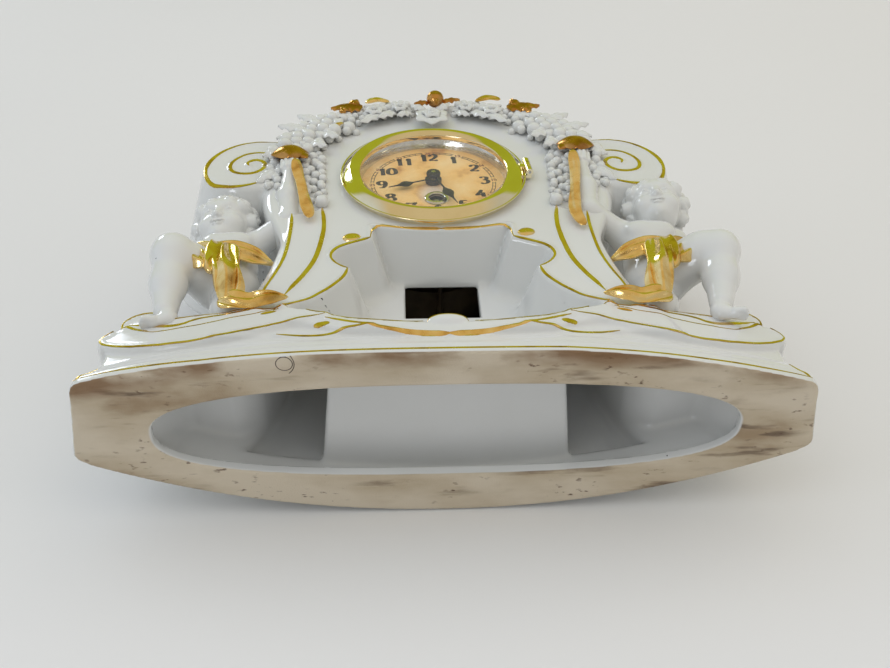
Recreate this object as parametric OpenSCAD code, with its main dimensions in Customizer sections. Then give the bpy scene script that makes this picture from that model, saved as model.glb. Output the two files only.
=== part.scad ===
// Porcelain figural mantel clock: hollow case, two kneeling putti, garland and a spring driven movement.
// Front faces -Y, +Z is up, the origin is on the rest face under the middle of the clock.

/* [Case] */
// Width of the base along its front edge
base_w = 285; // [279:1:291]
// Depth of the base on the centre line
base_d = 89; // [86:1:92]
// Height of the flat band at the foot of the base
foot_h = 9; // [8:0.5:10]
// Thickness of the porcelain wall
wall = 5; // [4:0.5:6]
// Front face of the body, measured forward from the origin
body_front = 33; // [32:0.5:34]
// Back face of the body, measured back from the origin
body_back = 42; // [40:0.5:43]
// Half width of the body at its waist
waist_r = 70; // [68:0.5:72]
// How far each side of the body flares out towards the base
waist_flare = 14; // [11:0.5:16]
// Radius of the dome round the dial
dome_r = 84; // [81:0.5:86]
// Rounding of the front and back edges of the dome
dome_edge = 8; // [5:0.5:10]
// Front radius of each scroll shoulder
volute_r = 21; // [18:0.5:23]
// Growth of the scroll radius from front to back
volute_flare = 13; // [9:0.5:14]
// Half length of the opening under the base
foot_hole_l = 116.5; // [112:0.5:120]
// Half width of the opening under the base
foot_hole_w = 24; // [21:0.5:26]

/* [Niche] */
// Half width of the niche at its top corners
niche_top_w = 30.5; // [29:0.5:33]
// Height of the niche's top corners
niche_top_z = 94; // [92:0.5:95]
// Depth of the niche from the front face to its back wall
niche_depth = 27; // [25:0.5:29]
// Width of the window in the back wall of the niche
window_w = 33; // [29:0.5:36]
// Height of the window in the back wall of the niche
window_h = 22; // [19:0.5:24]
// Lower edge of the window
window_z = 62.5; // [61:0.5:64]

/* [Dial] */
// Height of the dial centre
dial_z = 137; // [136:0.5:138]
// Sideways offset of the movement in its bore
dial_x = -2; // [-3:0.5:3]
// Turn of the movement in its bore, seen from the front
dial_turn = 4; // [-6:0.5:6]
// Outer radius of the bezel ring
bezel_r = 43; // [42.5:0.25:44]
// Radius of the glass
glass_r = 36.5; // [36:0.25:37]
// Radius of the visible dial
dial_r = 34.5; // [34:0.1:34.9]
// Thickness of the dial
dial_t = 0.6; // [0.4:0.1:0.8]
// Length of the minute hand from the centre
minute_len = 27.5; // [24:0.5:30]
// Length of the hour hand from the centre
hour_len = 23; // [19:0.5:25]
// Minutes past the hour that the hands show
show_min = 27; // [0:1:59]
// Hour that the hands show
show_hour = 8; // [0:1:11]
// Distance of the winding arbor below the dial centre
wind_drop = 15.4; // [15:0.1:16]

/* [Movement] */
// Radius of both movement plates
plate_r = 31; // [30.5:0.25:31.5]
// Thickness of each movement plate
plate_t = 1.5; // [1.2:0.1:1.8]
// Clear space between the plates
plate_gap = 18; // [17.8:0.1:19]
// Radius of the minute arbor
arbor_r = 1; // [0.9:0.05:1.1]
// Radius of the train arbors
pivot_r = 0.6; // [0.5:0.05:0.7]
// Running clearance round every arbor
run_gap = 0.05; // [0.03:0.01:0.08]
// Thickness of the brass wheels
wheel_t = 1; // [0.8:0.1:1.1]
// Teeth on the barrel
barrel_teeth = 72; // [66:6:78]
// Leaves on the centre pinion
centre_leaves = 12; // [11:1:13]
// Teeth on the centre wheel
centre_teeth = 64; // [62:2:66]
// Teeth on the third wheel
third_teeth = 60; // [58:2:62]
// Teeth on the fourth wheel
fourth_teeth = 56; // [54:2:58]
// Leaves on the third, fourth and escape pinions
leaves = 8; // [8:1:9]
// Radius of the balance wheel
balance_r = 8; // [7:0.25:8]
// Depth of the dust pan behind the movement
pan_depth = 30; // [26:0.5:31]
// Radius of the clamp screws
screw_r = 1.2; // [1:0.1:1.4]

/* [Figures] */
// Distance of each putto's knee from the middle of the clock
knee_x = 117; // [114:0.5:120]
// Height of each putto's shoulders above the rest face
shoulder_z = 106; // [103:0.5:108]
// Radius of each putto's head without its hair
head_r = 12.5; // [11:0.25:13.5]
// Radius of the largest berry
berry_r = 4.4; // [3.6:0.1:5]

/* [Hidden] */
$fn = 96;
front_drop = 16.5;
back_drop = 33;
end_flare = 6.5;
body_d = body_front + body_back;
base_back = body_front + base_d - 73.5;
base_front = base_d - base_back;
body_top_z = 112;
waist_z = 100;
shoulder_top = 38;
volute_x = 92;
volute_z = 150;
volute_back_x = 98;
volute_back_z = 140;
volute_len = 62;
niche_back = niche_depth - body_front;
niche_foot_z = 24;
bore_r = 38;
seat_gap = 0.2;
flange_t = 3;
ring_r = bore_r - seat_gap;
dial_y = -body_front + 2;
ledge_t = 1;
feet_r = 1.2;
hour_y = dial_y - 2.5;
minute_y = dial_y - 4.1;
hand_t = 0.5;
plate_y = dial_y + 5.5;
gap_y = plate_y + plate_t;
back_y = gap_y + plate_gap;
barrel_mod = 2 * wind_drop / (barrel_teeth + centre_leaves);
centre_mod = 0.35;
third_mod = 0.32;
fourth_mod = 0.28;
motion_mod = 0.4;
motion_leaves = 10;
minute_teeth = 30;
minute_leaves = 8;
hour_teeth = motion_leaves + minute_teeth - minute_leaves;
escape_teeth = 15;
escape_r = 5.5;
great_y = back_y - 4.5;
centre_y = back_y - 2.4;
third_y = back_y - 8;
fourth_y = back_y - 12;
escape_y = back_y - 15.5;
balance_y = back_y - 10;
spring_y = back_y - 6;
hour_wheel_y = dial_y + 1.4;
minute_wheel_y = hour_wheel_y + wheel_t + 0.4;
third_a = 60;
fourth_a = 171;
escape_a = 200;
lever_a = 215;
motion_a = 135;
function polar(r, a) = [r * cos(a), r * sin(a)];
function spread(teeth_a, teeth_b, mod) = (teeth_a + teeth_b) * mod / 2;
third_at = polar(spread(centre_teeth, leaves, centre_mod), third_a);
fourth_at = third_at + polar(spread(third_teeth, leaves, third_mod), fourth_a);
escape_at = fourth_at + polar(spread(fourth_teeth, leaves, fourth_mod), escape_a);
lever_at = escape_at + polar(escape_r + 1.9, lever_a);
balance_at = lever_at + polar(8.6, lever_a);
motion_at = polar(spread(motion_leaves, minute_teeth, motion_mod), motion_a);
barrel_at = [0, -wind_drop];
pillar_at = plate_r - 2.6;
lug_at = 34.5;
lug_r = 3;
pan_r = lug_at - lug_r - 0.4;
pan_floor = body_back - pan_depth;
pan_t = 1;
flange_r = bore_r + 5;
knob_y = pan_floor + pan_t + 1.5;
hinge_x = bezel_r + 2.6;
hinge_y = -body_front - flange_t - 1.6;
knuckle_r = 1.7;
hinge_pin_r = 0.7;
hinge_h = 4;
bezel_y = -body_front - flange_t - 0.1;
bezel_h = 5.4;
click_at = barrel_at + [9.4, 3.4];
ratchet_r = 6;
ratchet_teeth = 20;
index_boss_r = 1.35;
gold = [0.72, 0.58, 0.26];
porcelain = [0.93, 0.93, 0.91];
brass = [0.76, 0.64, 0.34];
steel = [0.62, 0.63, 0.65];

// Extrudes a front view outline through the depth, from its front face backwards
module slab(front, thick) {
    translate([0, front + thick, 0]) rotate([90, 0, 0]) linear_extrude(thick) children();
}

// Round bar along the depth at a place in the front view
module rod(at, r, front, back) {
    translate([at[0], back, at[1]]) rotate([90, 0, 0]) cylinder(h = back - front, r = r);
}

// Places the movement in its bore
module in_case() {
    translate([dial_x, 0, dial_z]) rotate([0, -dial_turn, 0]) children();
}

module at(place) {
    translate([place[0], 0, place[1]]) children();
}

module both_sides() {
    children();
    mirror([1, 0, 0]) children();
}

function side_x(z, inset) = waist_r - inset + waist_flare * pow(max(0, waist_z - z) / (waist_z - 30), 2);
function front_edge(x, half, inset) = inset - base_front + front_drop * pow(abs(x) / half, 3);
function back_edge(x, half, inset) = base_back - inset - back_drop * pow(abs(x) / half, 2.1);

// Outline of the base from above, drawn in by an inset
module base_plan(inset) {
    front = base_w / 2 - inset;
    back = base_w / 2 + end_flare - inset;
    polygon(concat(
        [for (i = [-12:12]) [front * i / 12, front_edge(front * i / 12, base_w / 2, inset)]],
        [for (i = [12:-1:-12]) [back * i / 12, back_edge(back * i / 12, base_w / 2 + end_flare, inset)]]));
}

// One layer of the base: what its front outline and its plan have in common
module base_layer(inset, half_outline) {
    intersection() {
        translate([0, 0, -1]) linear_extrude(60) base_plan(inset);
        slab(-70, 140) polygon(concat(half_outline, [for (i = [len(half_outline) - 1:-1:0])
            [-half_outline[i][0], half_outline[i][1]]]));
    }
}

// Front outline of the body between base and dome
module body_outline(inset, low, high) {
    zs = [for (i = [0:10]) low + (high - low) * i / 10];
    polygon(concat([for (z = zs) [side_x(z, inset), z]], [for (i = [10:-1:0]) [-side_x(zs[i], inset), zs[i]]]));
}

// Dome as a turned block with rounded rims
module dome(inset) {
    edge = max(dome_edge - inset, 1);
    r = dome_r - inset;
    d = body_d - 2 * inset;
    translate([0, body_back - inset, dial_z]) rotate([90, 0, 0]) rotate_extrude()
        polygon(concat([[0, 0]],
            [for (a = [-90:15:0]) [r - edge + edge * cos(a), edge + edge * sin(a)]],
            [for (a = [0:15:90]) [r - edge + edge * cos(a), d - edge + edge * sin(a)]],
            [[0, d]]));
}

// Scroll shoulder that widens towards the back
module volute(inset) {
    hull() {
        translate([volute_x, -body_front + 1 + inset, volute_z]) rotate([90, 0, 0])
            cylinder(h = 1, r = volute_r - inset, $fn = 48);
        translate([volute_back_x, volute_len - body_front - inset, volute_back_z]) rotate([90, 0, 0])
            cylinder(h = 1, r = volute_r + volute_flare - inset, $fn = 48);
    }
}

// Front outline of the niche, grown by a margin
module niche_outline(grow) {
    half = [[66, niche_foot_z], [66, 33], [55.5, 38.4], [51, 42.5], [46.5, 47], [41, 55], [39.5, 61.5],
        [44.6, 65.4], [47.3, 71], [45, 76.5], [38, 80.5], [niche_top_w, 84], [niche_top_w, niche_top_z],
        [14, niche_top_z - 2], [0, niche_top_z - 2.5]];
    polygon(concat([for (p = half) [p[0] + grow, p[1] + (p[1] > 60 ? grow : 0)]],
        [for (i = [len(half) - 1:-1:0]) [-half[i][0] - grow, half[i][1] + (half[i][1] > 60 ? grow : 0)]]));
}

// Concave floor of the niche: rises from the front edge of the base to the back wall
module niche_scoop(lift) {
    rise = 24;
    translate([-80, 0, 0]) rotate([90, 0, 90]) linear_extrude(160)
        polygon(concat([[-70, niche_foot_z - lift], [-body_front - 4, niche_foot_z - lift]],
            [for (i = [1:6]) [-body_front - 4 + (niche_depth + 5) * i / 6,
                niche_foot_z - lift + rise * pow(i / 6, 1.7)]],
            [[niche_back + 20, niche_foot_z - lift + rise], [niche_back + 20, 130], [-70, 130]]));
}

module niche_space(grow) {
    intersection() {
        slab(-70, 70 + niche_back + grow) niche_outline(grow);
        niche_scoop(grow);
    }
}

// Oval opening in the foot
module foot_opening(h) {
    translate([0, 3.5, -1]) linear_extrude(h + 1)
        polygon([for (i = [0:47]) [foot_hole_l * cos(i * 7.5),
            foot_hole_w * sin(i * 7.5) * (1 - 0.25 * pow(cos(i * 7.5), 4))]]);
}

module case_outside() {
    base_layer(0, [[base_w / 2 + end_flare, 0], [base_w / 2 + end_flare, foot_h]]);
    base_layer(4, [[138, 0], [137, foot_h + 1], [130, 14], [107, 17], [76, 26], [58, 31], [0, 19]]);
    base_layer(2, [[58, 28], [76.5, 22.7], [90.5, 17.3], [107, 13], [121, 11.5], [130, 11.7], [134, 14.6],
        [133.5, 18.4], [129.7, 23.6], [120, 26], [100, 31], [86, 36], [58, 33]]);
    base_layer(1.5, [[0, 10.5], [40, 14], [66, 22], [66, 34], [53, 27], [38, 22], [17, 19], [0, 18.5]]);
    base_layer(5, [[70, 30], [88, 34], [99.5, 28.8], [107, 24.6], [115.6, 25.8], [125.7, 26.5], [128.6, 29],
        [126, 33.4], [119, 35.8], [104, shoulder_top], [60, shoulder_top + 2]]);
    slab(-body_front, body_d) body_outline(0, 16, body_top_z);
    dome(0);
    both_sides() volute(0);
}

module case_inside() {
    base_layer(wall + 5, [[126, wall], [122, 16], [110, 19], [102, shoulder_top - 12],
        [80, shoulder_top - wall], [0, shoulder_top - wall]]);
    slab(-body_front + wall, body_d - 2 * wall) body_outline(wall, 20, body_top_z);
    dome(wall);
    both_sides() volute(wall);
}

module case_shell() {
    color(porcelain) difference() {
        case_outside();
        difference() {
            case_inside();
            niche_space(wall);
        }
        niche_space(0);
        foot_opening(wall + 1);
        translate([-window_w / 2, niche_back - 1, window_z]) cube([window_w, wall + 3, window_h]);
        at([dial_x, dial_z]) rod([0, 0], bore_r, -body_front - 1, -body_front + wall + 4);
        at([dial_x, dial_z]) rod([0, 0], bore_r, body_back - wall - 4, body_back + 1);
    }
}

// Rounded limb between two balls
module limb(a, ra, b, rb) {
    hull() {
        translate(a) sphere(r = ra, $fn = 18);
        translate(b) sphere(r = rb, $fn = 18);
    }
}

module ball(p, r) {
    translate(p) sphere(r = r, $fn = 18);
}

// Kneeling putto on the right shoulder of the base
module putto() {
    hip = [92, -20, 72];
    knee = [knee_x, -39.6, 69];
    chest = [97, -21, shoulder_z - 9];
    inner = [86, -22, shoulder_z + 3];
    outer = [109, -19, shoulder_z];
    elbow = [72, -29, shoulder_z + 5];
    head = [100, -27, shoulder_z + 14];
    limb(knee, 9, [100, -25, 76], 11);
    limb(knee, 8.6, [112, -27, 46], 6.5);
    limb([112, -27, 41], 5, [120, -31, 38], 4);
    limb(hip, 13, chest, 13);
    limb(hip, 11, [86, -28, 50], 8);
    limb([98, -22, 66], 7, [95, -25, 44], 6);
    limb([inner[0], inner[1], inner[2] - 2], 6.5, outer, 6.5);
    limb(inner, 6, elbow, 5.2);
    limb(elbow, 5.2, [71, -33, 150], 3.6);
    limb(outer, 6, [113, -8, shoulder_z - 6], 5);
    limb([113, -8, shoulder_z - 6], 5, [106, 8, shoulder_z + 12], 4);
    limb(chest, 9, head, 8);
    ball(head, head_r);
    ball([head[0] + 9, head[1] + 5, head[2] + 8], 8.5);
    ball([head[0] - 7, head[1] + 5, head[2] + 8], 8);
    ball([head[0] + 2, head[1] + 5, head[2] + 12], 8);
    ball([head[0] + 14, head[1] + 6, head[2] - 1], 6.5);
    ball([72, -26, shoulder_z + 20], 8);
    ball([74, -26, shoulder_z + 34], 7);
}

module putto_left() { color(porcelain) mirror([1, 0, 0]) putto(); }
module putto_right() { color(porcelain) putto(); }

// Gold cloth round one putto's waist, falling inwards to the base
module drape() {
    difference() {
        union() {
            limb([110, -31, 83], 4.5, [94, -34.5, 80], 6);
            limb([94, -34.5, 80], 6, [76, -30, 74], 5);
            limb([91, -35, 76], 6.5, [84, -38, 34], 5);
            limb([84, -38, 36], 5, [66, -37, 35], 4);
        }
        putto();
        base_layer(0, [[base_w / 2, 0], [base_w / 2, foot_h]]);
    }
}

module drape_left() { color(gold) mirror([1, 0, 0]) drape(); }
module drape_right() { color(gold) drape(); }

// Place on the front rim of the dome, by angle from the top
function rim(a, r, lift) = [r * sin(a), -body_front - lift, dial_z + r * cos(a)];

module bud(p, r) {
    translate(p) sphere(r = r, $fn = 10);
}

// Flower, leaves and gold bands along the top of the dome
module garland() {
    color(porcelain) {
        ball(rim(0, dome_r - 16, -1), 10);
        for (a = [0:60:300]) bud(rim(0, dome_r - 16, 1) + [9 * cos(a), 0, 9 * sin(a)], 5.5);
        ball(rim(0, dome_r + 1, -3), 5.5);
        for (s = [-1, 1], a = [10:6:40]) bud(rim(s * a, dome_r - 7 - 3 * cos(a * 30), -1), 6.2);
        for (s = [-1, 1], a = [13:6:37]) bud(rim(s * a, dome_r - 1, -3), 5);
    }
}

// Berries and leaves from the garland down to one putto's hand
module fruit() {
    for (i = [0:7]) bud(rim(42 + 4.6 * i, dome_r - 5 - i, 0), berry_r + 1);
    for (i = [0:6]) bud(rim(44 + 4.6 * i, dome_r - 12 - i, 0.5), berry_r);
    for (i = [0:5]) bud(rim(45 + 4.6 * i, dome_r + 1, -2), berry_r);
    limb(rim(73.8, dome_r - 19.4, 4), 4, rim(80.5, dome_r - 4.9, 4), 4);
}

module fruit_left() { color(porcelain) mirror([1, 0, 0]) fruit(); }
module fruit_right() { color(porcelain) fruit(); }

// Gold ribbon that hangs from the garland beside the dial
module ribbon() {
    slab(-body_front - 3, 3.5) polygon([[63, 146], [69, 144], [67, 126], [65, 110], [62, 96], [56, 93],
        [56, 98], [60, 112], [61, 126]]);
}

module ribbon_left() { color(gold) mirror([1, 0, 0]) ribbon(); }
module ribbon_right() { color(gold) ribbon(); }

module gold_studs() {
    color(gold) both_sides() {
        at([39, 86]) translate([0, -body_front, 0]) rotate([90, 0, 0]) cylinder(h = 2.5, r1 = 3.6, r2 = 2.2);
    }
}

// Seat that clamps against the case and carries the dial and the bezel hinge
module dial_ring() {
    color(brass) in_case() difference() {
        union() {
            rod([0, 0], bezel_r - 1, -body_front - flange_t, -body_front);
            rod([0, 0], ring_r, -body_front - 1, dial_y + 5);
            for (s = [-1, 1]) translate([hinge_x, hinge_y, s * hinge_h - 1.9]) cylinder(h = 3.8, r = knuckle_r);
            for (s = [-1, 1]) translate([bezel_r - 4, -body_front - flange_t, s * hinge_h - 1.9])
                cube([hinge_x - bezel_r + 5, 1.6, 3.8]);
            for (s = [-1, 1]) translate([hinge_x - 1, hinge_y, s * hinge_h - 1.9]) cube([2, 2.4, 3.8]);
        }
        rod([0, 0], ring_r - 0.9, -body_front - flange_t - 1, dial_y);
        rod([0, 0], dial_r + 0.5, dial_y - 1, dial_y + dial_t);
        rod([0, 0], dial_r - 1.5, dial_y, dial_y + dial_t + ledge_t);
        difference() {
            rod([0, 0], dial_r, dial_y + dial_t + ledge_t, dial_y + 6);
            for (s = [-1, 1]) rod([0, s * lug_at], lug_r, dial_y, dial_y + 7);
        }
        for (s = [-1, 1]) rod([0, s * lug_at], screw_r, dial_y + dial_t + ledge_t, dial_y + 6);
        translate([hinge_x, hinge_y, -10]) cylinder(h = 20, r = hinge_pin_r);
        translate([bezel_r - 0.4, hinge_y - 4, -hinge_h + 1.9]) cube([8, 8, 2 * hinge_h - 3.8]);
    }
}

module rehaut_ring() {
    out = ring_r - 1;
    color(steel) in_case() translate([0, dial_y, 0]) rotate([90, 0, 0]) rotate_extrude()
        polygon([[dial_r, 0], [dial_r + 0.5, 0], [out, 2.6], [out, 4.9], [out - 0.8, 4.9], [dial_r, 0.6]]);
}

module dial() {
    color([0.80, 0.64, 0.48]) in_case() difference() {
        rod([0, 0], dial_r + 0.4, dial_y, dial_y + dial_t);
        rod([0, 0], 2.7, dial_y - 1, dial_y + 2);
        rod(barrel_at, 3.6, dial_y - 1, dial_y + 2);
    }
}

module winding_eyelet() {
    color(steel) in_case() at(barrel_at) translate([0, dial_y + dial_t, 0]) rotate([90, 0, 0]) rotate_extrude()
        polygon([[3, 0], [3.5, 0], [3.5, dial_t + 0.02], [5.2, dial_t + 0.02], [5, dial_t + 0.5],
            [4, dial_t + 1.1], [3, dial_t + 0.9]]);
}

module hinge_pin() {
    color(steel) in_case() translate([hinge_x, hinge_y, -6.2]) cylinder(h = 12.4, r = hinge_pin_r);
}

// Convex ring that carries the glass and swings on the hinge
module bezel_ring() {
    inside = glass_r - 0.6;
    color(brass) in_case() difference() {
        union() {
            translate([0, bezel_y, 0]) rotate([90, 0, 0]) rotate_extrude()
                polygon([[inside, 0], [bezel_r, 0], [bezel_r, 1.2], [bezel_r - 1.2, 3.2], [bezel_r - 3.2, bezel_h - 0.3],
                    [bezel_r - 5, bezel_h], [inside, bezel_h - 0.9]]);
            translate([hinge_x, hinge_y, -1.8]) cylinder(h = 3.6, r = knuckle_r);
            translate([bezel_r - 3, hinge_y - 0.9, -1.8]) cube([5.6, 1.2, 3.6]);
        }
        translate([0, bezel_y, 0]) rod([0, 0], glass_r + run_gap, -1.9, 1);
        translate([hinge_x, hinge_y, -10]) cylinder(h = 20, r = hinge_pin_r + run_gap);
        for (s = [-1, 1]) translate([hinge_x - 3.4, hinge_y - 1.9, s * 4 - 2.1]) cube([8, 3.8, 4.2]);
    }
}

// Domed glass seated in the bezel
module bezel_glass() {
    color([0.9, 0.95, 0.95, 0.3]) in_case() translate([0, bezel_y, 0]) rotate([90, 0, 0]) rotate_extrude()
        polygon(concat([for (i = [0:10]) [glass_r * (10 - i) / 10, 1.5 + 4.5 * (1 - pow((10 - i) / 10, 2))]],
            [for (i = [0:10]) [glass_r * i / 10, 0.3 + 4.5 * (1 - pow(i / 10, 2))]]));
}

// Spade hand that points up, with its boss
module spade(len, boss) {
    polygon([[-1.1, 0], [-0.5, len * 0.45], [-2.3, len * 0.53], [-2.7, len * 0.61], [-1.8, len * 0.69],
        [-0.5, len * 0.78], [0, len], [0.5, len * 0.78], [1.8, len * 0.69], [2.7, len * 0.61],
        [2.3, len * 0.53], [0.5, len * 0.45], [1.1, 0]]);
    circle(r = boss);
}

module minute_hand() {
    color([0.1, 0.09, 0.08]) in_case() difference() {
        union() {
            slab(minute_y, hand_t) rotate(-6 * show_min) spade(minute_len, 3);
            rod([0, 0], 3.4, minute_y - 1.8, minute_y);
        }
        rod([0, 0], arbor_r, minute_y - 3, minute_y + 2);
    }
}

module hour_hand() {
    color([0.1, 0.09, 0.08]) in_case() difference() {
        union() {
            slab(hour_y, hand_t) rotate(-30 * (show_hour + show_min / 60)) spade(hour_len, 3.6);
            rod([0, 0], 4, hour_y + hand_t, dial_y - 0.4);
        }
        rod([0, 0], 2.2, hour_y - 1, dial_y + 1);
    }
}

module plate_blank(front) {
    rod([0, 0], plate_r, front, front + plate_t);
}

module train_holes(front) {
    back = front + 4;
    for (p = [third_at, fourth_at, escape_at, lever_at, balance_at]) rod(p, pivot_r + run_gap, front - 1, back);
    rod([0, 0], arbor_r + run_gap, front - 1, back);
    rod(barrel_at, 1.6 + run_gap, front - 1, back);
    for (a = [45:90:315]) rod(polar(pillar_at, a), 1, front - 1, back);
}

module front_plate() {
    color(brass) in_case() difference() {
        plate_blank(plate_y);
        train_holes(plate_y);
        rod(motion_at, 0.6, plate_y - 1, plate_y + 3);
        for (a = [0:120:240]) rod(polar(plate_r - 3.5, a), 0.8, plate_y - 1, plate_y + 3);
    }
}

module back_plate() {
    color(brass) in_case() difference() {
        union() {
            plate_blank(back_y);
            rod(balance_at, index_boss_r, back_y, back_y + plate_t + 1);
        }
        train_holes(back_y);
        rod(click_at, 0.6, back_y - 1, back_y + 3);
    }
}

module plate_pillars() {
    color(brass) in_case() for (a = [45:90:315]) {
        rod(polar(pillar_at, a), 2, gap_y, back_y);
        rod(polar(pillar_at, a), 1, back_y, back_y + plate_t + 2);
        rod(polar(pillar_at, a), 1, plate_y, gap_y);
    }
}

module pillar_nuts() {
    color(steel) in_case() for (a = [45:90:315]) difference() {
        at(polar(pillar_at, a)) slab(back_y + plate_t, 1.6) circle(r = 2.4, $fn = 6);
        rod(polar(pillar_at, a), 1, back_y, back_y + 5);
    }
}

module dial_feet() {
    color(brass) in_case() for (a = [0:120:240]) {
        rod(polar(plate_r - 3.5, a), feet_r, dial_y + dial_t, plate_y);
        rod(polar(plate_r - 3.5, a), 0.8, plate_y, plate_y + plate_t);
    }
}

// Straight sided tooth outline with the middle of a tooth at a given angle
module teeth_2d(count, mod, phase) {
    step = 360 / count;
    pr = count * mod / 2;
    polygon([for (i = [0:count - 1], k = [[-0.26, -1], [-0.12, 0.62], [0.12, 0.62], [0.26, -1]])
        polar(pr + k[1] * mod, phase + step * (i + k[0]))]);
}

// Toothed brass wheel with four spokes
module wheel(count, mod, phase, front, bore) {
    pr = count * mod / 2 - 1.9 * mod;
    slab(front, wheel_t) difference() {
        teeth_2d(count, mod, phase);
        difference() {
            circle(r = pr);
            circle(r = bore + 1.6);
            for (a = [0, 90]) rotate(a) square([2 * pr + 2, 1.2], center = true);
        }
        circle(r = bore);
    }
}

module pinion(count, mod, phase, front, back, bore) {
    slab(front, back - front) difference() {
        teeth_2d(count, mod, phase);
        circle(r = bore);
    }
}

// Going barrel: drum, cover and great wheel
module barrel() {
    drum_r = barrel_teeth * barrel_mod / 2 - 1.2;
    drum_front = great_y - 12;
    color(brass) in_case() at(barrel_at) difference() {
        union() {
            rod([0, 0], drum_r, drum_front, great_y);
            slab(great_y, wheel_t) teeth_2d(barrel_teeth, barrel_mod, 90);
        }
        rod([0, 0], 1.6 + run_gap, drum_front - 1, great_y + 3);
        difference() {
            rod([0, 0], drum_r - 0.8, drum_front + 0.8, great_y - 0.4);
            rod([0, 0], 3, drum_front, great_y);
        }
    }
}

// Spring strip coiled in the barrel as one spiral
module mainspring() {
    turns = 7;
    steps = turns * 16;
    inner = 3.4;
    outer = barrel_teeth * barrel_mod / 2 - 2.6;
    function coil(i, side) = polar(inner + (outer - inner) * i / steps + side, i * 22.5);
    color([0.35, 0.38, 0.45]) in_case() at(barrel_at) slab(great_y - 10.8, 9.8)
        polygon(concat([for (i = [0:steps]) coil(i, 0)], [for (i = [steps:-1:0]) coil(i, 0.4)]));
}

// Arbor with a square for the key, through the plates and the barrel
module winding_arbor() {
    color(steel) in_case() at(barrel_at) {
        rod([0, 0], 1.6, plate_y - 1, back_y + plate_t + 0.3);
        translate([-1.1, dial_y + 1, -1.1]) cube([2.2, plate_y - dial_y - 1.9, 2.2]);
        slab(back_y + plate_t + 0.3, 2.6) square(2.2, center = true);
    }
}

module ratchet_wheel() {
    step = 360 / ratchet_teeth;
    color(steel) in_case() at(barrel_at) slab(back_y + plate_t + 0.3, 1.2) difference() {
        polygon([for (i = [0:ratchet_teeth - 1], k = [[0, 1], [0.16, 0.84]]) polar(ratchet_r * k[1], step * (i + k[0]))]);
        square(2.2, center = true);
    }
}

// Click that lies just outside the ratchet's tips and lifts away from them
module click() {
    tip = polar(ratchet_r + 0.5, 62);
    back = polar(ratchet_r + 2.1, 62);
    front = back_y + plate_t + 0.3;
    color(steel) in_case() difference() {
        union() {
            rod(click_at, 1.8, front, front + 1.2);
            slab(front, 1.2)
                polygon([click_at + [0.6, 1.6], click_at + [-1, -1.2], barrel_at + tip, barrel_at + back]);
        }
        rod(click_at, 0.8 + run_gap, front - 1, front + 2);
    }
}

module click_screw() {
    color(steel) in_case() {
        rod(click_at, 0.6, back_y, back_y + plate_t);
        rod(click_at, 0.8, back_y + plate_t, back_y + plate_t + 1.6);
        rod(click_at, 1.7, back_y + plate_t + 1.6, back_y + plate_t + 2.4);
    }
}

// Centre wheel and pinion, carried on the minute arbor by friction
module centre_wheel() {
    color(brass) in_case() {
        pinion(centre_leaves, barrel_mod, -90 + 180 / centre_leaves, great_y - 1, centre_y, arbor_r + run_gap);
        wheel(centre_teeth, centre_mod, third_a, centre_y, arbor_r + run_gap);
    }
}

// Arbor of the hands, from the minute hand to the setting knob
module minute_arbor() {
    color(steel) in_case() {
        rod([0, 0], arbor_r, minute_y - 2, knob_y + 5);
        difference() {
            union() {
                pinion(motion_leaves, motion_mod, motion_a + 180 / motion_leaves, minute_wheel_y - 0.3,
                    minute_wheel_y + wheel_t + 0.3, arbor_r - 0.1);
                rod([0, 0], 1.5, minute_y + hand_t, minute_wheel_y);
            }
            rod([0, 0], arbor_r - 0.1, minute_y, minute_wheel_y + 4);
        }
    }
}

// Wheel and pinion on a post that turn the hour wheel
module minute_wheel() {
    color(brass) in_case() at(motion_at) {
        wheel(minute_teeth, motion_mod, motion_a + 180, minute_wheel_y, 0.7 + run_gap);
        pinion(minute_leaves, motion_mod, motion_a + 180 + 180 / minute_leaves, hour_wheel_y - 0.2, minute_wheel_y,
            0.7 + run_gap);
    }
}

module minute_post() {
    color(steel) in_case() {
        rod(motion_at, 0.7, hour_wheel_y - 0.4, plate_y);
        rod(motion_at, 0.6, plate_y, plate_y + plate_t);
        rod(motion_at, 1.1, minute_wheel_y + wheel_t + 0.2, plate_y);
    }
}

// Hour wheel with the pipe that carries the hour hand
module hour_wheel() {
    color(brass) in_case() {
        wheel(hour_teeth, motion_mod, motion_a, hour_wheel_y, 1.5 + run_gap);
        difference() {
            rod([0, 0], 2.2, hour_y - 0.2, hour_wheel_y + wheel_t);
            rod([0, 0], 1.5 + run_gap, hour_y - 1, hour_wheel_y + 3);
        }
    }
}

module third_wheel() {
    color(brass) in_case() at(third_at) {
        rod([0, 0], pivot_r, plate_y, back_y + plate_t);
        wheel(third_teeth, third_mod, fourth_a, third_y, pivot_r - 0.1);
        pinion(leaves, centre_mod, third_a + 180 + 180 / leaves, centre_y - 0.4, centre_y + wheel_t + 0.4,
            pivot_r - 0.1);
    }
}

module fourth_wheel() {
    color(brass) in_case() at(fourth_at) {
        rod([0, 0], pivot_r, plate_y, back_y + plate_t);
        wheel(fourth_teeth, fourth_mod, escape_a, fourth_y, pivot_r - 0.1);
        pinion(leaves, third_mod, fourth_a + 180 + 180 / leaves, third_y - 0.5, third_y + wheel_t + 0.5,
            pivot_r - 0.1);
    }
}

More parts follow.
